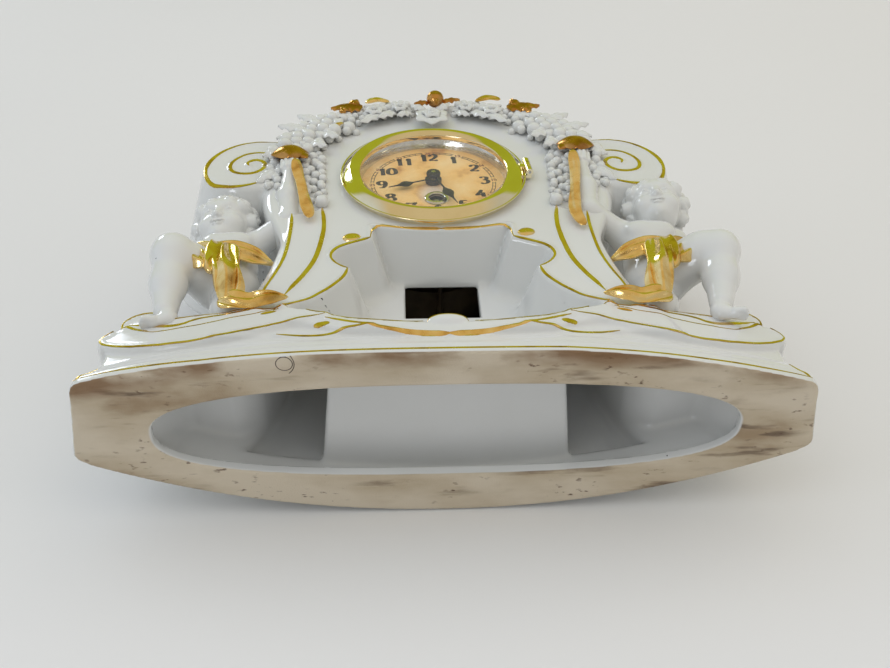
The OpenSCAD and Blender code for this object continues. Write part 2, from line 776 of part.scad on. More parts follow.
module escape_wheel() {
    step = 360 / escape_teeth;
    color(brass) in_case() at(escape_at) {
        rod([0, 0], pivot_r, plate_y, back_y + plate_t);
        slab(escape_y, 0.8) difference() {
            polygon([for (i = [0:escape_teeth - 1], k = [[0, 1], [0.12, 1], [0.3, 0.78], [0.75, 0.78]])
                polar(escape_r * k[1], step * (i + k[0]))]);
            difference() {
                circle(r = escape_r * 0.62);
                circle(r = 1.6);
                for (a = [0, 90]) rotate(a) square([escape_r * 1.4, 0.9], center = true);
            }
        }
        pinion(leaves, fourth_mod, escape_a + 180 + 180 / leaves, fourth_y - 0.4, fourth_y + wheel_t + 0.4,
            pivot_r - 0.1);
    }
}

// Lever with two steel pins beside the escape wheel and a fork towards the balance
module pallet_lever() {
    pin_r = 0.3;
    reach = escape_r + 1;
    color(steel) in_case() {
        rod(lever_at, pivot_r, plate_y, back_y + plate_t);
        for (s = [-1, 1]) rod(escape_at + polar(reach, lever_a + s * 48), pin_r, escape_y - 0.3, escape_y + 1.6);
        slab(escape_y + 1, 0.6) {
            polygon([lever_at + polar(1.4, lever_a), escape_at + polar(reach + 0.6, lever_a + 52),
                escape_at + polar(reach - 0.6, lever_a + 52), lever_at + polar(-1, lever_a),
                escape_at + polar(reach - 0.6, lever_a - 52), escape_at + polar(reach + 0.6, lever_a - 52)]);
            translate(lever_at) rotate(lever_a) polygon([[0, -0.7], [6, -0.5], [6.4, -1], [6.4, -0.4], [5.6, 0],
                [6.4, 0.4], [6.4, 1], [6, 0.5], [0, 0.7]]);
            translate(lever_at) circle(r = 1.2);
        }
    }
}

module balance_wheel() {
    color(brass) in_case() at(balance_at) {
        rod([0, 0], pivot_r, plate_y, back_y + plate_t + 0.2);
        slab(balance_y, 1.2) difference() {
            circle(r = balance_r);
            difference() {
                circle(r = balance_r - 1.2);
                circle(r = 1.5);
                square([2 * balance_r, 1.4], center = true);
            }
        }
        rod([0, 0], 1.6, escape_y, escape_y + 1.8);
        rod([0, 0], 1.1, spring_y - 0.2, spring_y + 1);
    }
}

// Flat spiral round the balance staff, pinned to the back plate
module balance_spring() {
    turns = 6;
    steps = turns * 14;
    function coil(i, side) = polar(1.5 + 0.62 * i / 14 + side, i * 360 / 14);
    color([0.25, 0.3, 0.5]) in_case() {
        at(balance_at) slab(spring_y, 0.5)
            polygon(concat([for (i = [0:steps]) coil(i, 0)], [for (i = [steps:-1:0]) coil(i, 0.2)]));
        rod(balance_at + [1.6 + 0.62 * turns, 0], 0.4, spring_y - 0.2, back_y);
    }
}

// Pointer that turns on a boss of the back plate about the balance axis
module regulator() {
    front = back_y + plate_t + 0.1;
    color(steel) in_case() at(balance_at) difference() {
        union() {
            rod([0, 0], 2.6, front, front + 0.8);
            slab(front, 0.8) polygon([[-0.9, 0], [-0.5, 13], [0, 14.5], [0.5, 13], [0.9, 0]]);
        }
        rod([0, 0], index_boss_r + run_gap, front - 1, front + 2);
    }
}

// Knurled knob that sets the hands from behind
module set_knob() {
    color(brass) in_case() difference() {
        slab(knob_y, 5) polygon([for (i = [0:35]) polar(6 - 0.35 * (i % 2), i * 10)]);
        rod([0, 0], arbor_r, knob_y - 1, knob_y + 6);
    }
}

// Pan that closes the case behind the movement
module rear_pan() {
    color(brass) in_case() difference() {
        union() {
            rod([0, 0], flange_r, body_back, body_back + 1.5);
            rod([0, 0], pan_r, pan_floor, body_back);
        }
        rod([0, 0], pan_r - pan_t, pan_floor + pan_t, body_back + 3);
        rod([0, 0], 3.5, pan_floor - 1, pan_floor + 3);
        for (s = [-1, 1]) rod([0, s * lug_at], screw_r, body_back - 1, body_back + 3);
    }
}

// Two long screws that draw the pan and the dial ring together
module clamp_screws() {
    color(steel) in_case() for (s = [-1, 1]) difference() {
        union() {
            rod([0, s * lug_at], screw_r, dial_y + dial_t + ledge_t, body_back + 1.5);
            rod([0, s * lug_at], 2.8, body_back + 1.5, body_back + 3.3);
        }
        translate([-3, body_back + 2.6, s * lug_at - 0.4]) cube([6, 2, 0.8]);
    }
}

case_shell();
putto_left();
putto_right();
drape_left();
drape_right();
garland();
fruit_left();
fruit_right();
ribbon_left();
ribbon_right();
gold_studs();
dial_ring();
rehaut_ring();
dial();
winding_eyelet();
hinge_pin();
bezel_ring();
bezel_glass();
minute_hand();
hour_hand();
front_plate();
back_plate();
plate_pillars();
pillar_nuts();
dial_feet();
barrel();
mainspring();
winding_arbor();
ratchet_wheel();
click();
click_screw();
centre_wheel();
minute_arbor();
minute_wheel();
minute_post();
hour_wheel();
third_wheel();
fourth_wheel();
escape_wheel();
pallet_lever();
balance_wheel();
balance_spring();
regulator();
set_knob();
rear_pan();
clamp_screws();
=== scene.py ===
import math

import bmesh
import bpy
import numpy as np
from mathutils import Matrix, Vector


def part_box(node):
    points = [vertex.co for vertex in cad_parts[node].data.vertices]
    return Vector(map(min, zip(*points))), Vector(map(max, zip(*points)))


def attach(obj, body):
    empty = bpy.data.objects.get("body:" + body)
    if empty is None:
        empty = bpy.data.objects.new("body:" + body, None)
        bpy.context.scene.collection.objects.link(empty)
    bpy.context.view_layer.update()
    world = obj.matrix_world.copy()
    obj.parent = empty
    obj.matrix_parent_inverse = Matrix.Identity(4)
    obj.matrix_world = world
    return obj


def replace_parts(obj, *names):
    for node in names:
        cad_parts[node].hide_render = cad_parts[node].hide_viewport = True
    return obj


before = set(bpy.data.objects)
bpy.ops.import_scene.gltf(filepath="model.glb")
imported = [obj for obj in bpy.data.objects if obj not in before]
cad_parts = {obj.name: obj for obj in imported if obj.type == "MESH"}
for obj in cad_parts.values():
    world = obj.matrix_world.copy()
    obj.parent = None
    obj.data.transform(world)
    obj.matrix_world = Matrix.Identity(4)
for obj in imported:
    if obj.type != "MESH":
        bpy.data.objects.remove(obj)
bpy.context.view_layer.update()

millimetre = 0.001
coarser = 1.0  # quicker looks take bigger cells


def corners(node):
    """Lowest and highest corner of a node of the frame, in millimetres."""
    low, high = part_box(node)
    return np.array(low) / millimetre, np.array(high) / millimetre


caseLow, caseHigh = corners("case_shell")
dialLow, dialHigh = corners("dial")
dialX, dialZ = (dialLow[0] + dialHigh[0]) / 2, (dialLow[2] + dialHigh[2]) / 2
dialTurn = math.radians(4)
dialFront = dialLow[1]


def inCase(u, y, w):
    """Places points of the movement, u to the right and w up about the dial centre, in the turned bore."""
    cosine, sine = math.cos(dialTurn), math.sin(dialTurn)
    return np.stack(np.broadcast_arrays(dialX + u * cosine - w * sine, y, dialZ + u * sine + w * cosine), -1)


# Finishes

class Shading:
    """The shader nodes of a material or a world, with ways to add to them."""

    def __init__(self, owner):
        owner.use_nodes = True
        tree = owner.node_tree
        self.nodes, self.new, self.link = tree.nodes, tree.nodes.new, tree.links.new

    def noise(self, scale, detail=3.0, stretch=(1, 1, 1), shift=(0, 0, 0)):
        """Noise on Object coordinates: scale is its cells per metre, stretch squeezes it along an axis."""
        place = self.new("ShaderNodeTexCoord")
        mapping = self.new("ShaderNodeMapping")
        noise = self.new("ShaderNodeTexNoise")
        mapping.inputs["Scale"].default_value = stretch
        mapping.inputs["Location"].default_value = shift
        noise.inputs["Scale"].default_value = scale
        noise.inputs["Detail"].default_value = detail
        self.link(place.outputs["Object"], mapping.inputs["Vector"])
        self.link(mapping.outputs["Vector"], noise.inputs["Vector"])
        return noise.outputs["Fac"]

    def ramp(self, source, stops):
        ramp = self.new("ShaderNodeValToRGB")
        elements = ramp.color_ramp.elements
        while len(elements) < len(stops):
            elements.new(0.5)
        for element, (place, colour) in zip(elements, stops):
            element.position = place
            element.color = (*colour, 1)
        self.link(source, ramp.inputs["Fac"])
        return ramp.outputs["Color"]

    def levels(self, source, low, high, bottom=0.3, top=0.7):
        """Maps bottom to low and top to high, and holds both beyond."""
        node = self.new("ShaderNodeMapRange")
        for name, value in (("From Min", bottom), ("From Max", top), ("To Min", low), ("To Max", high)):
            node.inputs[name].default_value = value
        self.link(source, node.inputs["Value"])
        return node.outputs["Result"]

    def maths(self, operation, first, second=None):
        node = self.new("ShaderNodeMath")
        node.operation = operation
        for place, value in enumerate((first, second)):
            if value is None:
                continue
            if isinstance(value, (int, float)):
                node.inputs[place].default_value = value
            else:
                self.link(value, node.inputs[place])
        return node.outputs["Value"]

    def vector(self, operation, source, constant=None):
        node = self.new("ShaderNodeVectorMath")
        node.operation = operation
        if constant is not None:
            node.inputs[1].default_value = constant
        self.link(source, node.inputs[0])
        return node.outputs["Vector" if operation == "MULTIPLY" else "Value"]

    def mix(self, factor, first, second):
        """Mixes two colours, each a constant or the output of a node."""
        node = self.new("ShaderNodeMix")
        node.data_type = "RGBA"
        self.link(factor, node.inputs["Factor"])
        for name, value in (("A", first), ("B", second)):
            socket = next(s for s in node.inputs if s.name == name and s.type == "RGBA")
            if isinstance(value, tuple):
                socket.default_value = (*value, 1)
            else:
                self.link(value, socket)
        return next(s for s in node.outputs if s.type == "RGBA")

    def bump(self, shader, height, strength, distance):
        bump = self.new("ShaderNodeBump")
        bump.inputs["Strength"].default_value = strength
        bump.inputs["Distance"].default_value = distance
        self.link(height, bump.inputs["Height"])
        self.link(bump.outputs["Normal"], shader.inputs["Normal"])


def startMaterial(name):
    material = bpy.data.materials.new(name)
    net = Shading(material)
    return material, net, net.nodes["Principled BSDF"]


def mottled(name, dark, light, scale, rough, metallic=0.0, bump=(900, 0.15, 0.0001), stretch=(1, 1, 1)):
    """A finish of two close colours and a roughness that drift with noise, over a fine bump."""
    material, net, shader = startMaterial(name)
    drift = net.noise(scale, 4, stretch)
    net.link(net.ramp(drift, [(0.35, dark), (0.65, light)]), shader.inputs["Base Color"])
    grain = net.noise(scale * 3.1, 3, stretch, (0.3, 0.1, 0.2))
    net.link(net.levels(grain, rough[0], rough[1]), shader.inputs["Roughness"])
    shader.inputs["Metallic"].default_value = metallic
    net.bump(shader, net.noise(bump[0], 2, stretch), bump[1], bump[2])
    return material


porcelainLook = {
    "glaze": [(0.3, (0.665, 0.67, 0.655)), (0.7, (0.715, 0.72, 0.71))],
    "speckCells": 38,
    "speckSize": 0.012,
    "speck": (0.05, 0.045, 0.04),
    "bisque": [(0.36, (0.34, 0.25, 0.155)), (0.46, (0.51, 0.425, 0.305)), (0.60, (0.62, 0.54, 0.42))],
    "dirt": (0.17, 0.12, 0.08),
    "grime": (0.10, 0.05, 0.03),
    "browned": (0.20, 0.105, 0.045),
    "brownShare": 0.8,
    "bareHeights": (0.0002, 0.0005),
    # The front edge of the foot lies at bow |x|^3 behind the brown band
    "bow": 5.36,
    "brownBand": (-0.0350, -0.0285),
    # Cracks in the bisque: middle, radius, and the least x where each shows, in metres
    "cracks": (((-0.0620, -0.0325, 0), 0.0031, -1.0), ((-0.0640, -0.0325, 0), 0.0057, -0.0606)),
    "crackHalf": 0.00018,
    "crack": (0.08, 0.06, 0.05),
    "roughness": (0.09, 0.88),
}


def makePorcelain():
    """White glaze with rare specks; the flat ring under the foot is bare stained bisque."""
    look = porcelainLook
    material, net, shader = startMaterial("porcelain glaze")
    glaze = net.ramp(net.noise(14, 3), look["glaze"])
    place = net.new("ShaderNodeTexCoord")
    cells = net.new("ShaderNodeTexVoronoi")
    cells.inputs["Scale"].default_value = look["speckCells"]
    net.link(place.outputs["Object"], cells.inputs["Vector"])
    speck = net.maths("LESS_THAN", cells.outputs["Distance"], look["speckSize"])
    glaze = net.mix(speck, glaze, look["speck"])

    stain = net.noise(34, 8, (0.45, 1.0, 1.0), (0.4, 0, 0))
    streak = net.noise(130, 6, (0.22, 1.3, 1.0), (0, 0.7, 0))
    pores = net.noise(1500, 2)
    bisque = net.ramp(stain, look["bisque"])
    dirt = net.maths("MULTIPLY", net.levels(streak, 0, 1, 0.56, 0.66), net.levels(stain, 1, 0, 0.40, 0.56))
    bisque = net.mix(dirt, bisque, look["dirt"])
    split = net.new("ShaderNodeSeparateXYZ")
    net.link(place.outputs["Object"], split.inputs["Vector"])
    wavy = net.maths("MULTIPLY", net.noise(45, 2, (1, 1, 0)), 0.0005)
    bare = net.levels(net.maths("SUBTRACT", split.outputs["Z"], wavy), 1, 0, *look["bareHeights"])
    grime = net.levels(net.noise(420, 5, (0.5, 1, 1)), 0, 1, 0.60, 0.68)
    grime = net.maths("MULTIPLY", grime, net.levels(net.noise(40, 2), 0, 1, 0.50, 0.62))
    bisque = net.mix(grime, bisque, look["grime"])
    across = net.maths("ABSOLUTE", split.outputs["X"])
    bow = net.maths("MULTIPLY", net.maths("POWER", across, 3.0), look["bow"])
    edge = net.levels(net.maths("SUBTRACT", split.outputs["Y"], bow), 1, 0, *look["brownBand"])
    brown = net.maths("MULTIPLY", edge, net.levels(stain, 1, 0, 0.46, 0.56))
    bisque = net.mix(net.maths("MULTIPLY", brown, look["brownShare"]), bisque, look["browned"])
    for centre, radius, start in look["cracks"]:
        away = net.vector("DISTANCE", place.outputs["Object"], centre)
        gap = net.maths("ABSOLUTE", net.maths("SUBTRACT", away, radius))
        crack = net.maths("LESS_THAN", gap, look["crackHalf"])
        crack = net.maths("MULTIPLY", crack, net.maths("GREATER_THAN", split.outputs["X"], start))
        bisque = net.mix(crack, bisque, look["crack"])
    net.link(net.mix(bare, glaze, bisque), shader.inputs["Base Color"])
    net.link(net.levels(bare, *look["roughness"], 0, 1), shader.inputs["Roughness"])
    ripple = net.maths("MULTIPLY", net.noise(90, 2), 0.35)
    rough = net.maths("MULTIPLY", net.maths("ADD", pores, streak), bare)
    net.bump(shader, net.maths("ADD", ripple, rough), 0.35, 0.0004)
    return material


def makeGilding():
    """Fired gold: warm metal with thin worn places that let a brown undertone through."""
    material, net, shader = startMaterial("fired gold")
    drift = net.noise(110, 5)
    gold = net.ramp(drift, [(0.30, (0.56, 0.34, 0.09)), (0.45, (0.87, 0.61, 0.22)), (0.62, (0.97, 0.77, 0.38))])
    net.link(gold, shader.inputs["Base Color"])
    net.link(net.levels(net.noise(420, 3), 0.10, 0.30), shader.inputs["Roughness"])
    shader.inputs["Metallic"].default_value = 1.0
    net.bump(shader, net.noise(520, 3), 0.30, 0.0003)
    return material


def makeDialFace():
    """Aged copper-toned dial, browned in patches, with a painted reflection: a pale patch above the winding hole.
    """
    material, net, shader = startMaterial("aged dial")
    stain = net.noise(62, 6)
    face = net.ramp(stain, [(0.36, (0.62, 0.29, 0.07)), (0.46, (0.92, 0.55, 0.18)), (0.66, (0.97, 0.68, 0.31))])
    place = net.new("ShaderNodeTexCoord")
    centre = net.new("ShaderNodeMapping")
    paintedReflectionHeight = dialZ - 11
    centre.inputs["Location"].default_value = (-dialX * millimetre, 0, -paintedReflectionHeight * millimetre)
    net.link(place.outputs["Object"], centre.inputs["Vector"])
    # Painted reflection: an oval above the winding hole is painted pale, standing in for light reflected there
    flat = net.vector("MULTIPLY", centre.outputs["Vector"], (1, 0, 0.8))
    pale = net.levels(net.vector("LENGTH", flat), 0.9, 0.0, 0.004, 0.009)
    net.link(net.mix(pale, face, (0.80, 0.66, 0.53)), shader.inputs["Base Color"])
    net.link(net.levels(net.noise(400, 3), 0.32, 0.52), shader.inputs["Roughness"])
    shader.inputs["Metallic"].default_value = 0.1
    net.bump(shader, net.noise(1800, 2), 0.12, 0.0001)
    return material


def makeGlass():
    material, net, shader = startMaterial("clock glass")
    shader.inputs["Base Color"].default_value = (0.95, 0.97, 0.96, 1)
    smear = net.noise(70, 4)
    net.link(net.levels(smear, 0.02, 0.06), shader.inputs["Roughness"])
    net.link(net.levels(smear, 0.03, 0.06), shader.inputs["Alpha"])
    shader.inputs["Specular IOR Level"].default_value = 0.6
    return material


finishes = {
    "porcelain": makePorcelain(),
    "gilding": makeGilding(),
    "copperGold": mottled("browned gold", (0.42, 0.19, 0.05), (0.66, 0.36, 0.11), 150, (0.14, 0.3), 1.0),
    "bezel": mottled("bezel metal", (0.86, 0.76, 0.52), (0.93, 0.85, 0.62), 60, (0.05, 0.11), 1.0,
                     (700, 0.05, 0.0001)),
    "nickel": mottled("nickel", (0.62, 0.61, 0.58), (0.74, 0.73, 0.70), 200, (0.10, 0.22), 1.0),
    "dialFace": makeDialFace(),
    "glass": makeGlass(),
    "black": mottled("blackened steel", (0.012, 0.010, 0.009), (0.035, 0.028, 0.024), 300, (0.25, 0.42), 0.6),
    "ink": mottled("dial ink", (0.020, 0.014, 0.010), (0.045, 0.030, 0.022), 500, (0.4, 0.55)),
    "redInk": mottled("red brown ink", (0.22, 0.075, 0.03), (0.32, 0.12, 0.06), 500, (0.4, 0.55)),
    "brass": mottled("plate brass", (0.62, 0.43, 0.16), (0.78, 0.60, 0.28), 90, (0.20, 0.38), 1.0,
                     (400, 0.2, 0.0001), (1, 1, 5)),
    "oxidised": mottled("oxidised pan", (0.035, 0.024, 0.014), (0.09, 0.062, 0.034), 70, (0.35, 0.6), 0.7),
    "steel": mottled("turned steel", (0.42, 0.42, 0.43), (0.58, 0.58, 0.59), 220, (0.18, 0.34), 1.0),
    "blued": mottled("blued steel", (0.03, 0.05, 0.14), (0.06, 0.09, 0.24), 180, (0.16, 0.30), 1.0),
}
print("finishes ready")


# Meshes

def makePiece(name, points, faces, finish, body="case", normals=None):
    """Puts points in millimetres and faces of four corners into a mesh that rides on a body."""
    mesh = bpy.data.meshes.new(name)
    faces = np.asarray(faces, dtype=np.int32)
    mesh.vertices.add(len(points))
    mesh.vertices.foreach_set("co", (np.asarray(points, dtype=np.float64) * millimetre).ravel())
    mesh.loops.add(faces.size)
    mesh.loops.foreach_set("vertex_index", faces.ravel())
    mesh.polygons.add(len(faces))
    mesh.polygons.foreach_set("loop_start", np.arange(0, faces.size, faces.shape[1], dtype=np.int32))
    mesh.update(calc_edges=True)
    mesh.polygons.foreach_set("use_smooth", np.ones(len(faces), dtype=bool))
    if normals is not None:
        mesh.normals_split_custom_set_from_vertices(np.asarray(normals, dtype=np.float32))
    piece = bpy.data.objects.new(name, mesh)
    bpy.context.scene.collection.objects.link(piece)
    piece.data.materials.append(finishes[finish])
    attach(piece, body)
    return piece


def mergePoles(piece, sharp=None):
    """Joins the points that fall together at poles and seams, and marks edges sharper than an angle."""
    shell = bmesh.new()
    shell.from_mesh(piece.data)
    bmesh.ops.remove_doubles(shell, verts=shell.verts, dist=1e-7)
    bmesh.ops.recalc_face_normals(shell, faces=shell.faces)
    if sharp is not None:
        for edge in shell.edges:
            edge.smooth = edge.calc_face_angle(0) < math.radians(sharp)
    shell.to_mesh(piece.data)
    shell.free()
    return piece


def gridFaces(rows, columns, roundRows=False, roundColumns=False):
    """Four-cornered faces of a grid of points; a round direction joins its last line to its first."""
    row, column = np.meshgrid(np.arange(rows if roundRows else rows - 1),
                              np.arange(columns if roundColumns else columns - 1), indexing="ij")
    nextRow, nextColumn = (row + 1) % rows, (column + 1) % columns
    corner = [row * columns + column, nextRow * columns + column,
              nextRow * columns + nextColumn, row * columns + nextColumn]
    return np.stack(corner, -1).reshape(-1, 4)


def closedTube(rings):
    """Faces of a tube of rings, closed at both ends by rings drawn to their middle."""
    middle = rings[[0, -1]].mean(axis=1, keepdims=True).repeat(rings.shape[1], axis=1)
    rings = np.concatenate([middle[:1], rings, middle[1:]])
    return rings.reshape(-1, 3), gridFaces(rings.shape[0], rings.shape[1], roundColumns=True)


def turned(name, profile, finish, body="case", steps=96, at=(0, 0), sharp=35):
    """A closed profile of radius and depth, turned about the axis of the movement or a line beside it."""
    profile = np.asarray(profile, dtype=float)
    angle = np.linspace(0, 2 * np.pi, steps, endpoint=False)[:, None]
    points = inCase(at[0] + profile[:, 0] * np.cos(angle), profile[:, 1] + 0 * angle,
                    at[1] + profile[:, 0] * np.sin(angle))
    piece = makePiece(name, points.reshape(-1, 3), gridFaces(steps, len(profile), True, True), finish, body)
    return mergePoles(piece, sharp)


def curveThrough(points, step=1.0):
    """Smooth curve through points: Catmull-Rom arcs, each as a cubic of its four nearest points."""
    points = np.asarray(points, dtype=float)
    padded = np.vstack([2 * points[0] - points[1], points, 2 * points[-1] - points[-2]])
    pieces = []
    for a, b, c, d in zip(padded, padded[1:], padded[2:], padded[3:]):
        count = max(2, int(np.linalg.norm(c - b) / step))
        t = np.linspace(0, 1, count, endpoint=False)[:, None]
        pieces.append(0.5 * (2 * b + (c - a) * t + (2 * a - 5 * b + 4 * c - d) * t ** 2
                             + (3 * b - a - 3 * c + d) * t ** 3))
    return np.vstack(pieces + [points[-1:]])


def unit(vectors):
    return vectors / np.maximum(np.linalg.norm(vectors, axis=-1, keepdims=True), 1e-9)


# Solid shapes as distance fields: negative inside, in millimetres

def smoothMin(first, second, reach):
    """The lesser of two distances, rounded where they come within reach of each other."""
    share = np.clip(0.5 + 0.5 * (second - first) / reach, 0, 1)
    return second + (first - second) * share - reach * share * (1 - share)


def smoothMax(first, second, reach):
    return -smoothMin(-first, -second, reach)


def ease(value, low, high):
    """Rises from 0 to 1 between low and high as 3t^2 - 2t^3."""
    t = np.clip((value - low) / (high - low), 0, 1)
    return t * t * (3 - 2 * t)


def ball(x, y, z, centre, radius):
    return np.sqrt((x - centre[0]) ** 2 + (y - centre[1]) ** 2 + (z - centre[2]) ** 2) - radius


def limb(x, y, z, start, startRadius, end, endRadius):
    """Distance to a line between two points, less a radius that runs from one end's to the other's."""
    along = np.subtract(end, start)
    t = ((x - start[0]) * along[0] + (y - start[1]) * along[1] + (z - start[2]) * along[2]) / (along @ along)
    t = np.clip(t, 0, 1)
    return np.sqrt((x - start[0] - t * along[0]) ** 2 + (y - start[1] - t * along[1]) ** 2
                   + (z - start[2] - t * along[2]) ** 2) - (startRadius + (endRadius - startRadius) * t)


def egg(x, y, z, centre, radii):
    """Near distance to an ellipsoid: |p/r| (|p/r| - 1) / |p/r^2|."""
    dx, dy, dz = x - centre[0], y - centre[1], z - centre[2]
    near = np.sqrt((dx / radii[0]) ** 2 + (dy / radii[1]) ** 2 + (dz / radii[2]) ** 2)
    far = np.sqrt((dx / radii[0] ** 2) ** 2 + (dy / radii[1] ** 2) ** 2 + (dz / radii[2] ** 2) ** 2)
    return near * (near - 1) / np.maximum(far, 1e-6)


shapes = {"ball": ball, "limb": limb, "egg": egg}


def built(x, y, z, table):
    """Joins a table of shapes in order: each row is a kind, its sizes, and the reach of its joint."""
    total = None
    for kind, *sizes, reach in table:
        distance = shapes[kind](x, y, z, *sizes)
        if total is None:
            total = distance
        elif reach < 0:
            total = smoothMax(total, -distance, -reach)
        else:
            total = smoothMin(total, distance, reach)
    return total


def gradient(field, points, step):
    """Slope of a field at points, from its values a step to each side."""
    x, y, z = points.T
    return np.stack([field(x + step, y, z) - field(x - step, y, z),
                     field(x, y + step, z) - field(x, y - step, z),
                     field(x, y, z + step) - field(x, y, z - step)], -1) / (2 * step)


def ontoSurface(field, points, level=0.0, rounds=3, step=0.1, limit=0.8):
    """Moves points along the slope until the field has a level there."""
    for _ in range(rounds):
        slope = gradient(field, points, step)
        size = np.maximum((slope ** 2).sum(-1, keepdims=True), 0.05)
        move = (field(*points.T) - level)[:, None] * slope / size
        length = np.linalg.norm(move, axis=-1, keepdims=True)
        points = points - move * np.minimum(1, limit / np.maximum(length, 1e-9))
    return points


class Net:
    """The surface where a field is zero: one point in each cell of a grid that the surface crosses."""

    def __init__(self, field, low, high, cell):
        self.field, self.cell = field, cell * coarser
        self.axes = [np.arange(a, b + self.cell, self.cell) for a, b in zip(low, high)]
        x, y, z = self.axes
        grid = field(x[:, None, None], y[None, :, None], z[None, None, :])
        self.values = np.broadcast_to(grid, [len(axis) for axis in self.axes]).astype(np.float32)

    def corner(self, table, place):
        return table[tuple(slice(p, table.shape[i] - 1 + p) for i, p in enumerate(place))]

    def surface(self, keep=None):
        """Points, faces and normals. Where keep is False counts as outside, and such a cut is closed flat."""
        inside = self.values < 0
        solid = inside if keep is None else inside & keep
        corner = [(a, b, c) for a in (0, 1) for b in (0, 1) for c in (0, 1)]
        count = sum(self.corner(solid, p).astype(np.uint8) for p in corner)
        cells = (count > 0) & (count < 8)
        number = np.full(cells.shape, -1, np.int32)
        place = np.argwhere(cells)
        number[cells] = np.arange(len(place))
        value = {p: self.values[tuple((place + p).T)] for p in corner}
        total, crossings = np.zeros((len(place), 3)), np.zeros((len(place), 1))
        for p in corner:
            for axis in range(3):
                if p[axis]:
                    continue
                q = tuple(1 if i == axis else v for i, v in enumerate(p))
                crossed = (value[p] < 0) != (value[q] < 0)
                t = np.where(crossed, value[p] / np.where(crossed, value[p] - value[q], 1), 0)
                spot = np.array(p, float) + np.eye(3)[axis] * t[:, None]
                total += spot * crossed[:, None]
                crossings += crossed[:, None]
        onCut = crossings[:, 0] == 0
        local = np.where(crossings > 0, total / np.maximum(crossings, 1), 0.5)
        points = np.array([axis[0] for axis in self.axes]) + (place + local) * self.cell
        points[~onCut] = ontoSurface(self.field, points[~onCut], 0, 3, 0.1, self.cell * 0.6)
        normals = unit(gradient(self.field, points, 0.35))
        faces = []
        for axis in range(3):
            one, two = [(1, 2), (2, 0), (0, 1)][axis]
            low = [slice(1, -1)] * 3
            high = [slice(1, -1)] * 3
            low[axis], high[axis] = slice(0, -1), slice(1, None)
            first, second = solid[tuple(low)], solid[tuple(high)]
            for flip, crossed in ((False, first & ~second), (True, ~first & second)):
                cell = np.argwhere(crossed)
                ring = []
                for a, b in ((0, 0), (1, 0), (1, 1), (0, 1)):
                    step = np.zeros(3, int)
                    step[one], step[two] = a, b
                    ring.append(number[tuple((cell + step).T)])
                ring = np.stack(ring, -1)
                faces.append(ring[:, ::-1] if flip else ring)
        return points, np.vstack(faces), normals


# Outlines in the front view

mapStep = 0.5
mapX = np.arange(-1, 154, mapStep)
mapZ = np.arange(-6, 232, mapStep)
mapGrid = np.meshgrid(mapX, mapZ, indexing="ij")


def outlineDistance(outline):
    """Distance to a closed outline on the map: nearest edge, negative where a ray crosses it an odd time."""
    outline = np.asarray(outline, dtype=float)
    x, z = mapGrid
    nearest = np.full(x.shape, 1e9)
    odd = np.zeros(x.shape, bool)
    for (ax, az), (bx, bz) in zip(outline, np.roll(outline, -1, axis=0)):
        ex, ez = bx - ax, bz - az
        t = np.clip(((x - ax) * ex + (z - az) * ez) / max(ex * ex + ez * ez, 1e-9), 0, 1)
        nearest = np.minimum(nearest, (x - ax - t * ex) ** 2 + (z - az - t * ez) ** 2)
        if ez:
            odd ^= ((az <= z) != (bz <= z)) & (x < ax + (z - az) * ex / ez)
    return np.sqrt(nearest) * np.where(odd, -1, 1)


def pathDistance(path):
    """Distance to an open path on the map."""
    x, z = mapGrid
    nearest = np.full(x.shape, 1e9)
    for (ax, az), (bx, bz) in zip(path, path[1:]):
        ex, ez = bx - ax, bz - az
        t = np.clip(((x - ax) * ex + (z - az) * ez) / max(ex * ex + ez * ez, 1e-9), 0, 1)
        nearest = np.minimum(nearest, (x - ax - t * ex) ** 2 + (z - az - t * ez) ** 2)
    return np.sqrt(nearest)


def fromMap(table, x, z):
    """Reads a map at places by their distance from the middle plane, straight between its points."""
    across = np.clip((np.abs(x) - mapX[0]) / mapStep, 0, len(mapX) - 1.001)
    up = np.clip((z - mapZ[0]) / mapStep, 0, len(mapZ) - 1.001)
    i, j = across.astype(int), up.astype(int)
    a, b = across - i, up - j
    return ((table[i, j] * (1 - a) + table[i + 1, j] * a) * (1 - b)
            + (table[i, j + 1] * (1 - a) + table[i + 1, j + 1] * a) * b)


